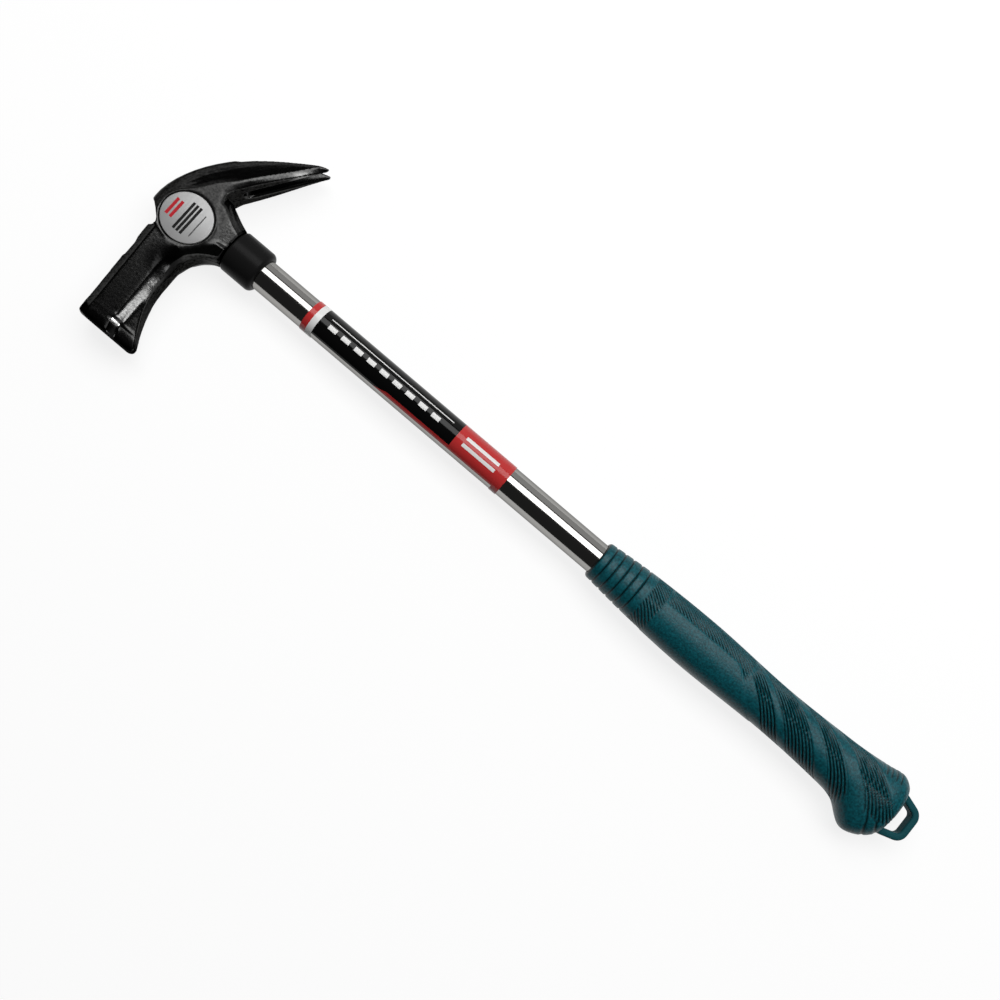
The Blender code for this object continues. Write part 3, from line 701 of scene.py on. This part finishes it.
# %% Step, nick and flare above the striking face
BAND_TOP = 58.7
BAND_STEP = 1.2
BAND_DEPTH = 0.7
BAND_REACH = 43.0
BAND_FULL_ABOVE = 6.8
NICK_TOP = 57.9
NICK_BOTTOM = 59.0
NICK_SLOPE = 0.45
FLARE_TOP = 61.0
FLARE_SLOPE = 0.26
for vert in head_net.verts:
    spot = vert.co.copy()
    down = -spot.y
    if down < BAND_REACH:
        continue
    step = BAND_DEPTH * ease((down - BAND_TOP) / BAND_STEP)
    spot.z -= math.copysign(step * min(abs(spot.z) / BAND_FULL_ABOVE, 1.0), spot.z)
    nick = NICK_SLOPE * min(max(down - NICK_TOP, 0.0), NICK_BOTTOM - NICK_TOP)
    flare = FLARE_SLOPE * max(down - FLARE_TOP, 0.0)
    vert.co = spot + corner_outward(spot) * corner_share(spot) * (flare - nick)
band = [vert for vert in head_net.verts if -vert.co.y > BAND_REACH]
print("band", len(band), "points")

# %% [markdown]
# The new steps are softened like every forged edge. The flats of the band are levelled along z
# only, so that the step keeps its outline, and the corners of the rim are rounded a little more.

# %% Softened band
BAND_ROUNDS = 3
FLATS_DOWN = (55.0, 63.0)
FLATS_FACING = 0.95
FLATS_ROUNDS = 40
RIM_DOWN = (61.4, 64.6)
RIM_ABOVE = 4.0
RIM_BEYOND = 22.0
RIM_ROUNDS = 10
melt(head_net, band, BAND_ROUNDS)
head_net.normal_update()
flats = [vert for vert in band if abs(vert.normal.z) > FLATS_FACING and within(-vert.co.y, FLATS_DOWN)]
melt(head_net, flats, FLATS_ROUNDS, axes="z")
rim_corners = [vert for vert in band if within(-vert.co.y, RIM_DOWN)
               and abs(vert.co.z) > RIM_ABOVE and vert.co.x > RIM_BEYOND]
melt(head_net, rim_corners, RIM_ROUNDS)
print("flats", len(flats), "points, rim corners", len(rim_corners))

# %% [markdown]
# The net is now the finished head. No edge is marked sharp, because the smoothing has already
# given each edge its radius. The card past the loop is linked to this one piece.

# %% Head
head = piece_from("forged_head", head_net, [forged], sharp_angle=180.0)
belongs(head, "head")
head_alone = bpy.data.collections.new("head_alone")
head_alone.objects.link(head)
poll_card.light_linking.receiver_collection = head_alone

# %% [markdown]
# Magnet, collar, tube and film are round, so they are made as on a lathe: a line of points is
# spun about the shaft axis. A cylinder with bevels would do for some of them, but a profile
# shows every size at once. A full spin leaves a seam, which is merged, and it can turn the
# shape inside out, so the faces of a closed shape are turned outwards.

# %% Helpers for turned pieces
TURN_STEPS = 120
SEAM_MERGE = 0.0005


def spun(points, steps, closed):
    """Spin a line of (x, radius) points about the shaft axis."""
    bm = bmesh.new()
    verts = [bm.verts.new((x, 0.0, radius)) for x, radius in points]
    ends = verts[1:] + verts[:1] if closed else verts[1:]
    edges = [bm.edges.new(pair) for pair in zip(verts, ends)]
    bmesh.ops.spin(bm, geom=verts + edges, cent=(0, 0, 0), axis=(1, 0, 0), angle=math.tau,
                   steps=steps, use_merge=True)
    bmesh.ops.remove_doubles(bm, verts=bm.verts, dist=SEAM_MERGE)
    return bm


def face_outwards(bm):
    """Turn the faces of a closed shape outwards."""
    bmesh.ops.recalc_face_normals(bm, faces=bm.faces)
    if bm.calc_volume(signed=True) < 0.0:
        bmesh.ops.reverse_faces(bm, faces=bm.faces)


def turned(profile):
    """A solid of revolution from a closed profile."""
    bm = spun(profile, TURN_STEPS, closed=True)
    face_outwards(bm)
    return bm


# %% [markdown]
# The magnet is a plated disc pressed into the top of the poll. It is a short turned bar with a
# broken edge, which is moved from the axis to its pocket.

# %% Magnet
ON_AXIS = 0.01
MAGNET_EDGE = 0.35
plated = finish("magnet_nickel", (0.50, 0.49, 0.47), roughness=0.28, metallic=1.0)
roughen(plated, grain(plated, 0.25), depth_mm=0.01, strength=0.5)
low, high = node_box_mm("nail_magnet")
radius = (high.y - low.y) / 2
bm = turned([(low.x, ON_AXIS), (low.x, radius - MAGNET_EDGE), (low.x + MAGNET_EDGE, radius),
             (high.x, radius), (high.x, ON_AXIS)])
bmesh.ops.translate(bm, vec=(0.0, (low.y + high.y) / 2, (low.z + high.z) / 2), verts=bm.verts)
belongs(piece_from("nail_magnet_disc", bm, [plated]), "nail_magnet")

# %% [markdown]
# The collar is a black moulded sleeve. Its front edge is small and its back edge is well
# rounded, as a pulled-over sleeve is, so the turned profile has an arc at each end. Moulded
# plastic has a fine matt texture.

# %% Collar
COLLAR_CLEARANCE = 0.1
COLLAR_FRONT_ROUND = 0.9
COLLAR_BACK_ROUND = 2.5
ROUND_POINTS = 8


def arc(centre, radius, start, end):
    """Points on an arc in the (x, radius) plane, angles in degrees from +x."""
    angles = [math.radians(mix(start, end, i / ROUND_POINTS)) for i in range(ROUND_POINTS + 1)]
    return [(centre[0] + radius * math.cos(a), centre[1] + radius * math.sin(a)) for a in angles]


collar_plastic = finish("collar_plastic", (0.010, 0.010, 0.010), roughness=0.30, specular=0.05)
roughen(collar_plastic, grain(collar_plastic, 0.35), depth_mm=0.02, strength=0.5)
low, high = node_box_mm("neck_collar")
outer = high.z
inner = node_box_mm("handle_tube")[1].z + COLLAR_CLEARANCE
front_centre = (low.x + COLLAR_FRONT_ROUND, outer - COLLAR_FRONT_ROUND)
back_centre = (high.x - COLLAR_BACK_ROUND, outer - COLLAR_BACK_ROUND)
profile = [(high.x, inner), (low.x, inner)]
profile += arc(front_centre, COLLAR_FRONT_ROUND, 180, 90)
profile += arc(back_centre, COLLAR_BACK_ROUND, 90, 5)
belongs(piece_from("collar_sleeve", turned(profile), [collar_plastic]), "neck_collar")

# %% [markdown]
# The shaft is a chromed tube. Chrome is a mirror, so its look is made by what it reflects, and
# a smooth round surface matters more than any pattern. Faint wipe marks along the tube keep
# the mirror from looking like glass. They are noise that is stretched along the shaft. The
# overhead strip is linked to the tube now and to the grip later. The pin under the collar is
# the CAD solid itself, which only gets a finish.

# %% Tube and pin
TUBE_WALL = 1.2
CHROME_EDGE = (0.45, 0.45, 0.45, 1.0)
WIPE_STRETCH = (0.02, 1.0, 1.0)
chrome = finish("chromed_tube", (0.34, 0.335, 0.323), roughness=0.09, metallic=1.0)
shader_of(chrome).inputs["Specular Tint"].default_value = CHROME_EDGE
gloss(chrome, grain(chrome, 1.0, stretch=WIPE_STRETCH), low=0.06, high=0.13)
low, high = node_box_mm("handle_tube")
tube_radius = (high.z - low.z) / 2
tube_bore = tube_radius - TUBE_WALL
profile = [(low.x, tube_bore), (low.x, tube_radius), (high.x, tube_radius), (high.x, tube_bore)]
shaft = belongs(piece_from("chromed_shaft", turned(profile), [chrome]), "handle_tube")
shaft_and_grip = bpy.data.collections.new("shaft_and_grip")
shaft_and_grip.objects.link(shaft)
shaft_strip.light_linking.receiver_collection = shaft_and_grip

pin_steel = finish("pin_steel", (0.42, 0.42, 0.43), roughness=0.4, metallic=1.0)
roughen(pin_steel, grain(pin_steel, 0.3), depth_mm=0.01)
pin_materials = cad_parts["cross_pin"].data.materials
pin_materials.clear()
pin_materials.append(pin_steel)

# %% [markdown]
# A printed film is wrapped round the tube: a red ring, a white ring, a long black field and a
# red field. A picture could carry the print, but its edges would blur close up. Here each
# colour is a glossy finish of its own, with a faint waviness.

# %% Prints of the film
film_black = finish("film_black", (0.003, 0.003, 0.003), roughness=0.10, specular=0.22)
film_red = finish("film_red", (0.54, 0.034, 0.034), roughness=0.12, specular=0.3)
film_white = finish("film_white", (0.86, 0.86, 0.85), roughness=0.14, specular=0.3)
FILM_PRINTS = [film_black, film_red, film_white]
for film_print in FILM_PRINTS:
    roughen(film_print, grain(film_print, 2.5), depth_mm=0.02, strength=0.4)

# %% [markdown]
# The sleeve is spun from a line with a point at each colour's edge, so every field is a row of
# faces with its own print. A strip of bare tube is left along the poll side: those faces are
# deleted, and the rest gets the film's thickness.

# %% Film on the shaft
FILM_EDGES = (89.7, 92.8, 96.0, 176.6, 202.8, 206.8)
FIELD_PRINTS = (film_red, film_white, film_black, film_red, film_red)
FILM_STEPS = 180
FILM_STAND = 0.35
FILM_THICKNESS = 0.3
WINDOW_FIELDS = (2, 3)
WINDOW_ANGLES = (56.0, 112.0)
film_radius = tube_radius + FILM_STAND


def poll_side_angle(point):
    """Degrees from the upper cheek towards the poll, round the shaft."""
    return math.degrees(math.atan2(-point.y, point.z))


bm = spun([(x, film_radius) for x in FILM_EDGES], FILM_STEPS, closed=False)
bare = []
for face in bm.faces:
    middle = face.calc_center_median()
    field = sum(1 for x in FILM_EDGES[1:-1] if middle.x > x)
    face.material_index = FILM_PRINTS.index(FIELD_PRINTS[field])
    if field in WINDOW_FIELDS and within(poll_side_angle(middle), WINDOW_ANGLES):
        bare.append(face)
bmesh.ops.delete(bm, geom=bare, context="FACES")
bmesh.ops.recalc_face_normals(bm, faces=bm.faces)
outward = sum(face.normal.dot(face.calc_center_median() * Vector((0, 1, 1))) for face in bm.faces)
if outward < 0.0:
    bmesh.ops.reverse_faces(bm, faces=bm.faces)
bmesh.ops.solidify(bm, geom=bm.faces[:], thickness=FILM_THICKNESS)
belongs(piece_from("printed_sleeve", bm, FILM_PRINTS), "shaft_label")

# %% [markdown]
# The film carries plain dashes, a line, two bars and a red sliver along its window. Each is a
# small grid that is rolled to the film's radius and lifted by a hair, as a layer of ink is.
# Cutting them into the sleeve would need many more faces there.

# %% Plain print on the film
INK_LIFT = 0.03
POINTED_SHARE = 1.0 / 6.0
PATCH_COLUMNS = 12
PATCH_ROWS = 6
DASH_COUNT = 9
DASH_FIRST = 101.0
DASH_PITCH = 7.6
DASH_LENGTH = 4.6
DASH_ANGLES = (-12.0, 4.0)
BAR_ANGLES = ((-24.0, -12.0), (2.0, 14.0))


def printed_patch(name, film_print, places, angles, point=1.0):
    """A patch of print that follows the film; angles are degrees towards the poll.

    point is the share of the width that is left at the patch's head end.
    """
    low_angle, high_angle = angles
    bm = bmesh.new()
    bmesh.ops.create_grid(bm, x_segments=PATCH_COLUMNS, y_segments=PATCH_ROWS, size=0.5)
    reach = film_radius + INK_LIFT
    for vert in bm.verts:
        place = vert.co.x + 0.5
        width = mix(point, 1.0, min(place / POINTED_SHARE, 1.0))
        angle = math.radians(mix(high_angle, low_angle, (vert.co.y + 0.5) * width))
        vert.co = (mix(*places, place), -reach * math.sin(angle), reach * math.cos(angle))
    bmesh.ops.recalc_face_normals(bm, faces=bm.faces)
    if sum(face.normal.z for face in bm.faces) < 0.0:
        bmesh.ops.reverse_faces(bm, faces=bm.faces)
    return belongs(piece_from(name, bm, [film_print]))


printed_patch("red_sliver", film_red, places=(132.5, FILM_EDGES[3]), angles=(40.0, 55.8), point=0.02)
for row in range(DASH_COUNT):
    start = DASH_FIRST + row * DASH_PITCH
    printed_patch("white_dash_" + str(row), film_white, (start, start + DASH_LENGTH), DASH_ANGLES)
printed_patch("white_line_upper", film_white, places=(100.0, 172.0), angles=(-32.0, -28.5))
for row, bar_angles in enumerate(BAR_ANGLES):
    printed_patch("red_field_bar_" + str(row), film_white, (181.0, 200.0), bar_angles)

# %% [markdown]
# The badge is a thin oval of satin metal, set flush in a shallow seat. A spun disc would be
# round, so a circle is stretched to the oval first, then extruded and its edge bevelled. The
# brushing is noise that is drawn out along y.

# %% Badge
BADGE_SEGMENTS = 96
BADGE_EDGE = 0.3
BRUSH_STRETCH = (1.0, 0.04, 1.0)


def of_kind(result, kind):
    """What an operator made, of one kind: points, edges or faces."""
    return [item for item in result["geom"] if isinstance(item, kind)]


badge_metal = finish("badge_aluminium", (0.38, 0.38, 0.38), roughness=0.40, metallic=0.3)
brushed = grain(badge_metal, 0.5, stretch=BRUSH_STRETCH)
gloss(badge_metal, brushed, low=0.36, high=0.46)
roughen(badge_metal, brushed, depth_mm=0.01, strength=0.35)
badge_low, badge_high = node_box_mm("cheek_badge")
badge_middle = (badge_low + badge_high) / 2
badge_half = (badge_high - badge_low) / 2
bm = bmesh.new()
bmesh.ops.create_circle(bm, cap_ends=True, segments=BADGE_SEGMENTS, radius=1.0)
bmesh.ops.scale(bm, vec=(badge_half.x, badge_half.y, 1.0), verts=bm.verts)
bmesh.ops.translate(bm, vec=(badge_middle.x, badge_middle.y, badge_low.z), verts=bm.verts)
raised = bmesh.ops.extrude_face_region(bm, geom=bm.faces[:])
top = of_kind(raised, bmesh.types.BMVert)
bmesh.ops.translate(bm, vec=(0.0, 0.0, badge_high.z - badge_low.z), verts=top)
rim = [edge for edge in bm.edges if all(vert in top for vert in edge.verts)]
bmesh.ops.bevel(bm, geom=rim, offset=BADGE_EDGE, offset_type="OFFSET", affect="EDGES", segments=3,
                profile=0.5, material=-1)
bmesh.ops.recalc_face_normals(bm, faces=bm.faces)
belongs(piece_from("cheek_badge_plate", bm, [badge_metal]), "cheek_badge")

# %% [markdown]
# Plain bars of colour lie on the badge: two red ones, three black ones and a fine grey line.
# They are flat grids, a hair above the metal, each with a matt ink.

# %% Bars on the badge
BAR_LIFT = 0.02
BAR_GLOSS = {"roughness": 0.4, "specular": 0.12}
badge_red = finish("badge_red", (0.50, 0.016, 0.026), **BAR_GLOSS)
badge_black = finish("badge_black", (0.006, 0.006, 0.006), **BAR_GLOSS)
badge_grey = finish("badge_grey", (0.10, 0.10, 0.10), **BAR_GLOSS)
BAR_GROUPS = (
    {"ink": badge_red, "width": 1.5, "length": 9.0, "places": (-8.4, -5.9)},
    {"ink": badge_black, "width": 1.3, "length": 15.0, "places": (-1.6, 0.4, 2.4)},
    {"ink": badge_grey, "width": 0.6, "length": 12.0, "places": (6.2,)},
)


def badge_bar(name, ink, width, length, place):
    bm = bmesh.new()
    bmesh.ops.create_grid(bm, x_segments=2, y_segments=8, size=0.5)
    bmesh.ops.scale(bm, vec=(width, length, 1.0), verts=bm.verts)
    spot = (badge_middle.x + place, badge_middle.y, badge_high.z + BAR_LIFT)
    bmesh.ops.translate(bm, vec=spot, verts=bm.verts)
    return belongs(piece_from(name, bm, [ink]))


bars = [(group, place) for group in BAR_GROUPS for place in group["places"]]
for count, (group, place) in enumerate(bars):
    badge_bar("badge_bar_" + str(count), group["ink"], group["width"], group["length"], place)

# %% [markdown]
# The grip is moulded rubber over the tube. Its section is an oval whose walls swell for the
# palm and hook at the butt. A few sections along it give the wall on the claw side, the poll
# side and the cheeks. A smooth curve through them, which never overshoots at a highest or
# lowest section, gives the wall in between.

# %% Shape of the grip
GRIP_WALLS = (
    (0.0, 1.5, 1.6, 1.5),
    (27.0, 3.6, 3.7, 3.2),
    (60.0, 4.4, 4.8, 3.8),
    (106.0, 3.1, 3.7, 3.2),
    (141.0, 4.2, 4.9, 3.8),
    (152.0, 5.0, 6.8, 4.1),
    (163.5, 6.5, 14.0, 4.3),
    (170.0, 7.6, 11.9, 4.1),
    (175.0, 5.2, 7.8, 2.4),
    (176.8, 1.6, 3.8, -0.6),
)
GRIP_SQUARENESS = 2.3
GRIP_CLEARANCE = 0.3
grip_low, grip_high = node_box_mm("grip")
grip_start = grip_low.x
grip_length = grip_high.x - grip_low.x
grip_bore = tube_radius + GRIP_CLEARANCE


def smooth_through(rows, column, place):
    """Smooth curve through one column of a table whose first column is the place."""
    slopes = []
    for k, row in enumerate(rows):
        before = rows[max(k - 1, 0)]
        after = rows[min(k + 1, len(rows) - 1)]
        rise_before = row[column] - before[column]
        rise_after = after[column] - row[column]
        flat = rise_before * rise_after <= 0.0 and 0 < k < len(rows) - 1
        slopes.append(0.0 if flat else (after[column] - before[column]) / (after[0] - before[0]))
    for k in range(len(rows) - 1):
        if place <= rows[k + 1][0] or k == len(rows) - 2:
            span = rows[k + 1][0] - rows[k][0]
            t = (place - rows[k][0]) / span
            a, b = rows[k][column], rows[k + 1][column]
            return (a * (1 + 2 * t) * (1 - t) ** 2 + b * t * t * (3 - 2 * t)
                    + span * slopes[k] * t * (1 - t) ** 2 - span * slopes[k + 1] * t * t * (1 - t))


print("grip", round(grip_length, 1), "mm long, bore", round(2 * grip_bore, 1), "mm")

# %% [markdown]
# The relief of the grip is a formula of two values: the place along the grip and the angle
# round it, from the cheek to the claw. A groove is a cosine valley. Behind the lip come ring
# grooves with slightly bellied lands.


# %% Ring grooves
def valley(value, width):
    """A rounded groove of depth 1 at value 0."""
    away = abs(value) / (width / 2)
    return (1.0 + math.cos(math.pi * away)) / 2 if away < 1.0 else 0.0


def groove_row(value, pitch, width):
    """Grooves at every multiple of a pitch."""
    return valley((value + pitch / 2) % pitch - pitch / 2, width)


RING_FIRST = 4.2
RING_PITCH = 4.5
RING_COUNT = 5
RING_WIDTH = 1.4
RING_DEPTH = 0.55
RING_BELLY = 0.05


def ring_relief(place):
    depth = sum(valley(place - RING_FIRST - i * RING_PITCH, RING_WIDTH) for i in range(RING_COUNT))
    lands = (place - RING_FIRST) / RING_PITCH
    belly = math.sin(math.pi * (lands % 1.0)) if 0.0 < lands < RING_COUNT - 1 else 0.0
    return RING_BELLY * belly - RING_DEPTH * depth


print(RING_COUNT, "ring grooves,", round(-ring_relief(RING_FIRST), 2), "mm deep")

# %% [markdown]
# Behind the rings lies a smooth thumb pad that stands a little proud. It is a window along the
# grip times a window round it. Its butt end follows the slant of the ribs, and its upper corner
# there is drawn down to a tip.

# %% Thumb pad
SLANT = 13.5
PAD_START = 34.8
PAD_END = 85.5
PAD_TOP = math.radians(28.0)
PAD_TIP = math.radians(2.0)
PAD_BOTTOM = math.radians(-85.0)
PAD_TAPER = 9.0
PAD_END_SLANT = 0.8
PAD_EDGE = 0.8
PAD_SIDE_EDGE = 0.045
PAD_PROUD = 0.22


def pad_share(place, angle):
    """1 on the thumb pad, 0 off it; the butt end of the pad is rounded."""
    top = mix(PAD_TOP, PAD_TIP, ease((place - PAD_END + PAD_TAPER) / PAD_TAPER))
    end = PAD_END + PAD_END_SLANT * SLANT * max(-angle, 0.0)
    return window(place, PAD_START, end, PAD_EDGE) * window(angle, PAD_BOTTOM, top, PAD_SIDE_EDGE)


print("thumb pad", round(PAD_END - PAD_START, 1), "mm long")

# %% [markdown]
# Fine ribs slant round the grip in front of the pad and over it. They are rows of the same
# valley, set along a slanted measure that runs on behind the pad, so the ribs of one zone line
# up with those of the next.

# %% Ribs beside the pad
SLANT_BEND = 0.35
RIB_PITCH = 2.1
RIB_WIDTH = 1.5
RIB_DEPTH = 0.55
RIB_START = 26.5
RIB_END = 86.0
RIB_OVERLAP = 0.4
RIB_EDGE = 0.8
RIB_SOFT_EDGE = 3.0
RIB_REACH = 0.5
RIB_SIDE_EDGE = 0.1


def slanted(place, angle):
    """Place along the grip, measured along the slant of the ribs."""
    return place + SLANT * (angle + SLANT_BEND * (1.0 - math.cos(angle)))


def pad_and_ribs(place, angle, slant):
    pad = pad_share(place, angle)
    front = window(place, RIB_START, PAD_START + RIB_OVERLAP, RIB_EDGE)
    over_pad = window(place, PAD_START, RIB_END, RIB_SOFT_EDGE)
    over_pad *= ease((angle - PAD_TOP + RIB_REACH) / RIB_SIDE_EDGE)
    ribs = max(front, over_pad) * (1.0 - pad)
    return PAD_PROUD * pad - RIB_DEPTH * ribs * groove_row(slant, RIB_PITCH, RIB_WIDTH)


print("ribs", RIB_PITCH, "mm apart, from", RIB_START, "to", RIB_END, "mm")

# %% [markdown]
# Behind the pad, the ribs come in groups that wind round the grip as spirals. On the hook of
# the butt they give way to a few broad flutes. One share says how much a spot belongs to the
# hook, and the two patterns trade places by it.

# %% Spirals and flutes
SPIRAL_GROUPS = ((97.4, 5.4), (116.0, 9.0), (138.8, 6.6), (163.2, 9.0))
SPIRAL_START = 84.0
SPIRAL_START_EDGE = 5.0
SPIRAL_EDGE = 1.0
SPIRAL_DEPTH = 0.75
HOOK_START = 150.0
HOOK_START_EDGE = 4.0
HOOK_ANGLE = -0.56
HOOK_SIDE_EDGE = 0.16
FLUTE_ZONE = (152.0, 172.0)
FLUTE_EDGE = 1.5
FLUTE_PITCH = 5.2
FLUTE_WIDTH = 2.4
FLUTE_DEPTH = 0.45


def spirals_and_flutes(place, angle, slant):
    on_hook = ease((place - HOOK_START) / HOOK_START_EDGE) * ease((HOOK_ANGLE - angle) / HOOK_SIDE_EDGE)
    behind_pad = ease((place - SPIRAL_START) / SPIRAL_START_EDGE)
    spirals = sum(window(slant, middle - half, middle + half, SPIRAL_EDGE)
                  * groove_row(slant - middle, RIB_PITCH, RIB_WIDTH) for middle, half in SPIRAL_GROUPS)
    flutes = window(slant, *FLUTE_ZONE, FLUTE_EDGE)
    flutes *= groove_row(slant - FLUTE_ZONE[0], FLUTE_PITCH, FLUTE_WIDTH)
    return -SPIRAL_DEPTH * behind_pad * (1.0 - on_hook) * spirals - FLUTE_DEPTH * on_hook * flutes


print(len(SPIRAL_GROUPS), "groups of spiral grooves")

# %% [markdown]
# Short notches cross the claw side of the butt. With them the relief is whole: the heights of
# all the patterns are simply added, because each is 0 outside its own zone.

# %% Notches and the whole relief
NOTCH_ZONE = (158.5, 170.5)
NOTCH_EDGE = 0.6
NOTCH_ANGLE = math.radians(46.0)
NOTCH_SIDE_EDGE = 0.12
NOTCH_PITCH = 2.6
NOTCH_DEPTH = 0.45


def butt_notches(place, angle):
    share = window(place, *NOTCH_ZONE, NOTCH_EDGE) * ease((angle - NOTCH_ANGLE) / NOTCH_SIDE_EDGE)
    return -NOTCH_DEPTH * share * groove_row(place, NOTCH_PITCH, RIB_WIDTH)


def grip_relief(place, angle):
    """Height over the plain surface, in millimetres; angle is from the cheek to the claw."""
    slant = slanted(place, angle)
    return (ring_relief(place) + pad_and_ribs(place, angle, slant)
            + spirals_and_flutes(place, angle, slant) + butt_notches(place, angle))


print("relief in the middle of the pad", round(grip_relief((PAD_START + PAD_END) / 2, 0.0), 2), "mm")

# %% [markdown]
# A point of the grip is found in two steps. First the walls give a rounded oval, a little
# squarer than an ellipse, whose claw side and poll side have reaches of their own. Then the
# relief moves the point outwards or inwards.

# %% Points of the grip
LIP_DEPTH = 0.8
LIP_LENGTH = 1.2
WALL_COLUMNS = (1, 2, 3)
first_swell = GRIP_WALLS[1][0]
butt_end = GRIP_WALLS[-1][0]


def grip_point(place, turn_share):
    """A point of the grip and the height of its relief."""
    walls = [smooth_through(GRIP_WALLS, column, place) for column in WALL_COLUMNS]
    claw, poll, cheek = [grip_bore + wall for wall in walls]
    power = 2.0 / mix(2.0, GRIP_SQUARENESS, ease(place / first_swell))
    angle = math.tau * turn_share
    sideways, upward = math.cos(angle), math.sin(angle)
    reach = claw if sideways > 0 else poll
    y = reach * math.copysign(abs(sideways) ** power, sideways)
    z = cheek * math.copysign(abs(upward) ** power, upward)
    lip = LIP_DEPTH * max(0.0, 1.0 - place / LIP_LENGTH) ** 2
    facing = math.atan2(y, abs(z)) + CAMERA_ROLL
    height = grip_relief(place, facing) - lip
    out = Vector((0.0, y, z)).normalized()
    return Vector((grip_start + place * grip_length / butt_end, y, z)) + out * height, height


print("first point of the grip", tuple(round(c, 1) for c in grip_point(0.0, 0.0)[0]))

# %% [markdown]
# The grooves could be a bump in the material, but then the outline would stay smooth, and the
# edge of the real grip is notched by them. So a grid of fine cells is rolled into the grip, and
# every groove is real geometry. The height of each point is kept as an attribute, which the
# rubber reads later to paint shade into its grooves.

# %% Net of the grip
GRIP_ROWS = 440
GRIP_COLUMNS = 222
BODY_SHARE = 0.9
WELD_DISTANCE = 0.001
dome_start = GRIP_WALLS[-3][0]


def grip_rows():
    """Places along the grip, closer together where the butt is domed."""
    body_rows = int(GRIP_ROWS * BODY_SHARE)
    dome_rows = GRIP_ROWS - body_rows
    rows = [dome_start * i / body_rows for i in range(body_rows)]
    rises = [math.sin(math.pi / 2 * i / dome_rows) for i in range(dome_rows + 1)]
    return rows + [mix(dome_start, butt_end, rise) for rise in rises]


rows = grip_rows()
grip_net = bmesh.new()
bmesh.ops.create_grid(grip_net, x_segments=GRIP_ROWS, y_segments=GRIP_COLUMNS, size=0.5)
relief = grip_net.verts.layers.float.new("relief")
for vert in grip_net.verts:
    row = round((vert.co.x + 0.5) * GRIP_ROWS)
    vert.co, vert[relief] = grip_point(rows[row], vert.co.y + 0.5)
bmesh.ops.remove_doubles(grip_net, verts=grip_net.verts, dist=WELD_DISTANCE)
print("grip net", len(grip_net.verts), "points")

# %% [markdown]
# The rolled net is open at both ends. The butt is filled. The front edge is extruded inwards to
# the bore and then along it, because the real grip is a sleeve over the tube and would look
# like a shell without that wall.

# %% Ends of the grip
END_LIMIT = 1.0
BORE_SETBACK = 0.05
BORE_STOP = 12.0
open_edges = [edge for edge in grip_net.edges if edge.is_boundary]
front = [edge for edge in open_edges if edge.verts[0].co.x < grip_start + END_LIMIT]
butt = [edge for edge in open_edges if edge.verts[0].co.x > grip_start + END_LIMIT]
bmesh.ops.holes_fill(grip_net, edges=butt, sides=0)
inward = bmesh.ops.extrude_edge_only(grip_net, edges=front)
for vert in of_kind(inward, bmesh.types.BMVert):
    vert.co = Vector((grip_start + BORE_SETBACK, *(vert.co.yz.normalized() * grip_bore)))
bore_edges = [edge for edge in of_kind(inward, bmesh.types.BMEdge) if edge.is_boundary]
deeper = bmesh.ops.extrude_edge_only(grip_net, edges=bore_edges)
for vert in of_kind(deeper, bmesh.types.BMVert):
    vert.co.x = grip_start + grip_length - BORE_STOP
end_edges = [edge for edge in grip_net.edges if edge.is_boundary]
bmesh.ops.holes_fill(grip_net, edges=end_edges, sides=0)
face_outwards(grip_net)
print("open edges left", sum(edge.is_boundary for edge in grip_net.edges))

# %% [markdown]
# The rubber is a dark teal with a fine leathery grain. Its grooves get painted shade, almost
# black, so the colour follows the relief that was kept on the net, and a fine noise speckles
# the lands.

# %% Rubber and the grip
RUBBER_LAND = (0.0045, 0.104, 0.131)
RUBBER_GROOVE_SHADE = (0.0005, 0.010, 0.012)
GROOVE_SPAN = (-0.45, -0.05)
SPECK_SPAN = (0.35, 0.65)
SPECK_LOW = 0.42
rubber = finish("grip_rubber", RUBBER_LAND, roughness=0.36, specular=0.22)
roughen(rubber, grain(rubber, 0.9), depth_mm=0.15, strength=0.7)
gloss(rubber, grain(rubber, 5.0), low=0.32, high=0.42)
tree = rubber.node_tree
kept_relief = tree.nodes.new("ShaderNodeAttribute")
kept_relief.attribute_name = "relief"
land = spread(tree, kept_relief.outputs["Fac"], *GROOVE_SPAN)
specks = spread(tree, grain(rubber, 1.1, detail=3.0), *SPECK_SPAN, low=SPECK_LOW)
# The near-black groove tone is painted shade.
tint(rubber, through(tree, "MULTIPLY", land, specks), RUBBER_GROOVE_SHADE, RUBBER_LAND, span=(0.0, 1.0))
grip = belongs(piece_from("rubber_grip", grip_net, [rubber], sharp_angle=60.0), "grip")
shaft_and_grip.objects.link(grip)

# %% [markdown]
# The hanging loop is a flat bar of the grip's colour, bent to a rounded trapezium. It is the
# CAD loop with softer edges: a merged copy of that solid is remeshed and smoothed like the head.

# %% Loop
LOOP_VOXEL = 0.30
LOOP_ROUNDS = 4
loop_plastic = finish("loop_plastic", (0.0087, 0.072, 0.086), roughness=0.55, specular=0.06)
roughen(loop_plastic, grain(loop_plastic, 0.4), depth_mm=0.02, strength=0.5)
loop_net = even_copy("hang_loop", LOOP_VOXEL)
melt(loop_net, loop_net.verts, LOOP_ROUNDS)
loop = piece_from("moulded_loop", loop_net, [loop_plastic], sharp_angle=180.0)
belongs(loop, "hang_loop")

# %% [markdown]
# Last, the size of the box of the solids is printed, in millimetres.

# %% Sizes
bpy.context.view_layer.update()
print("CAD size", [round(c / MM, 2) for c in cad_high - cad_low])
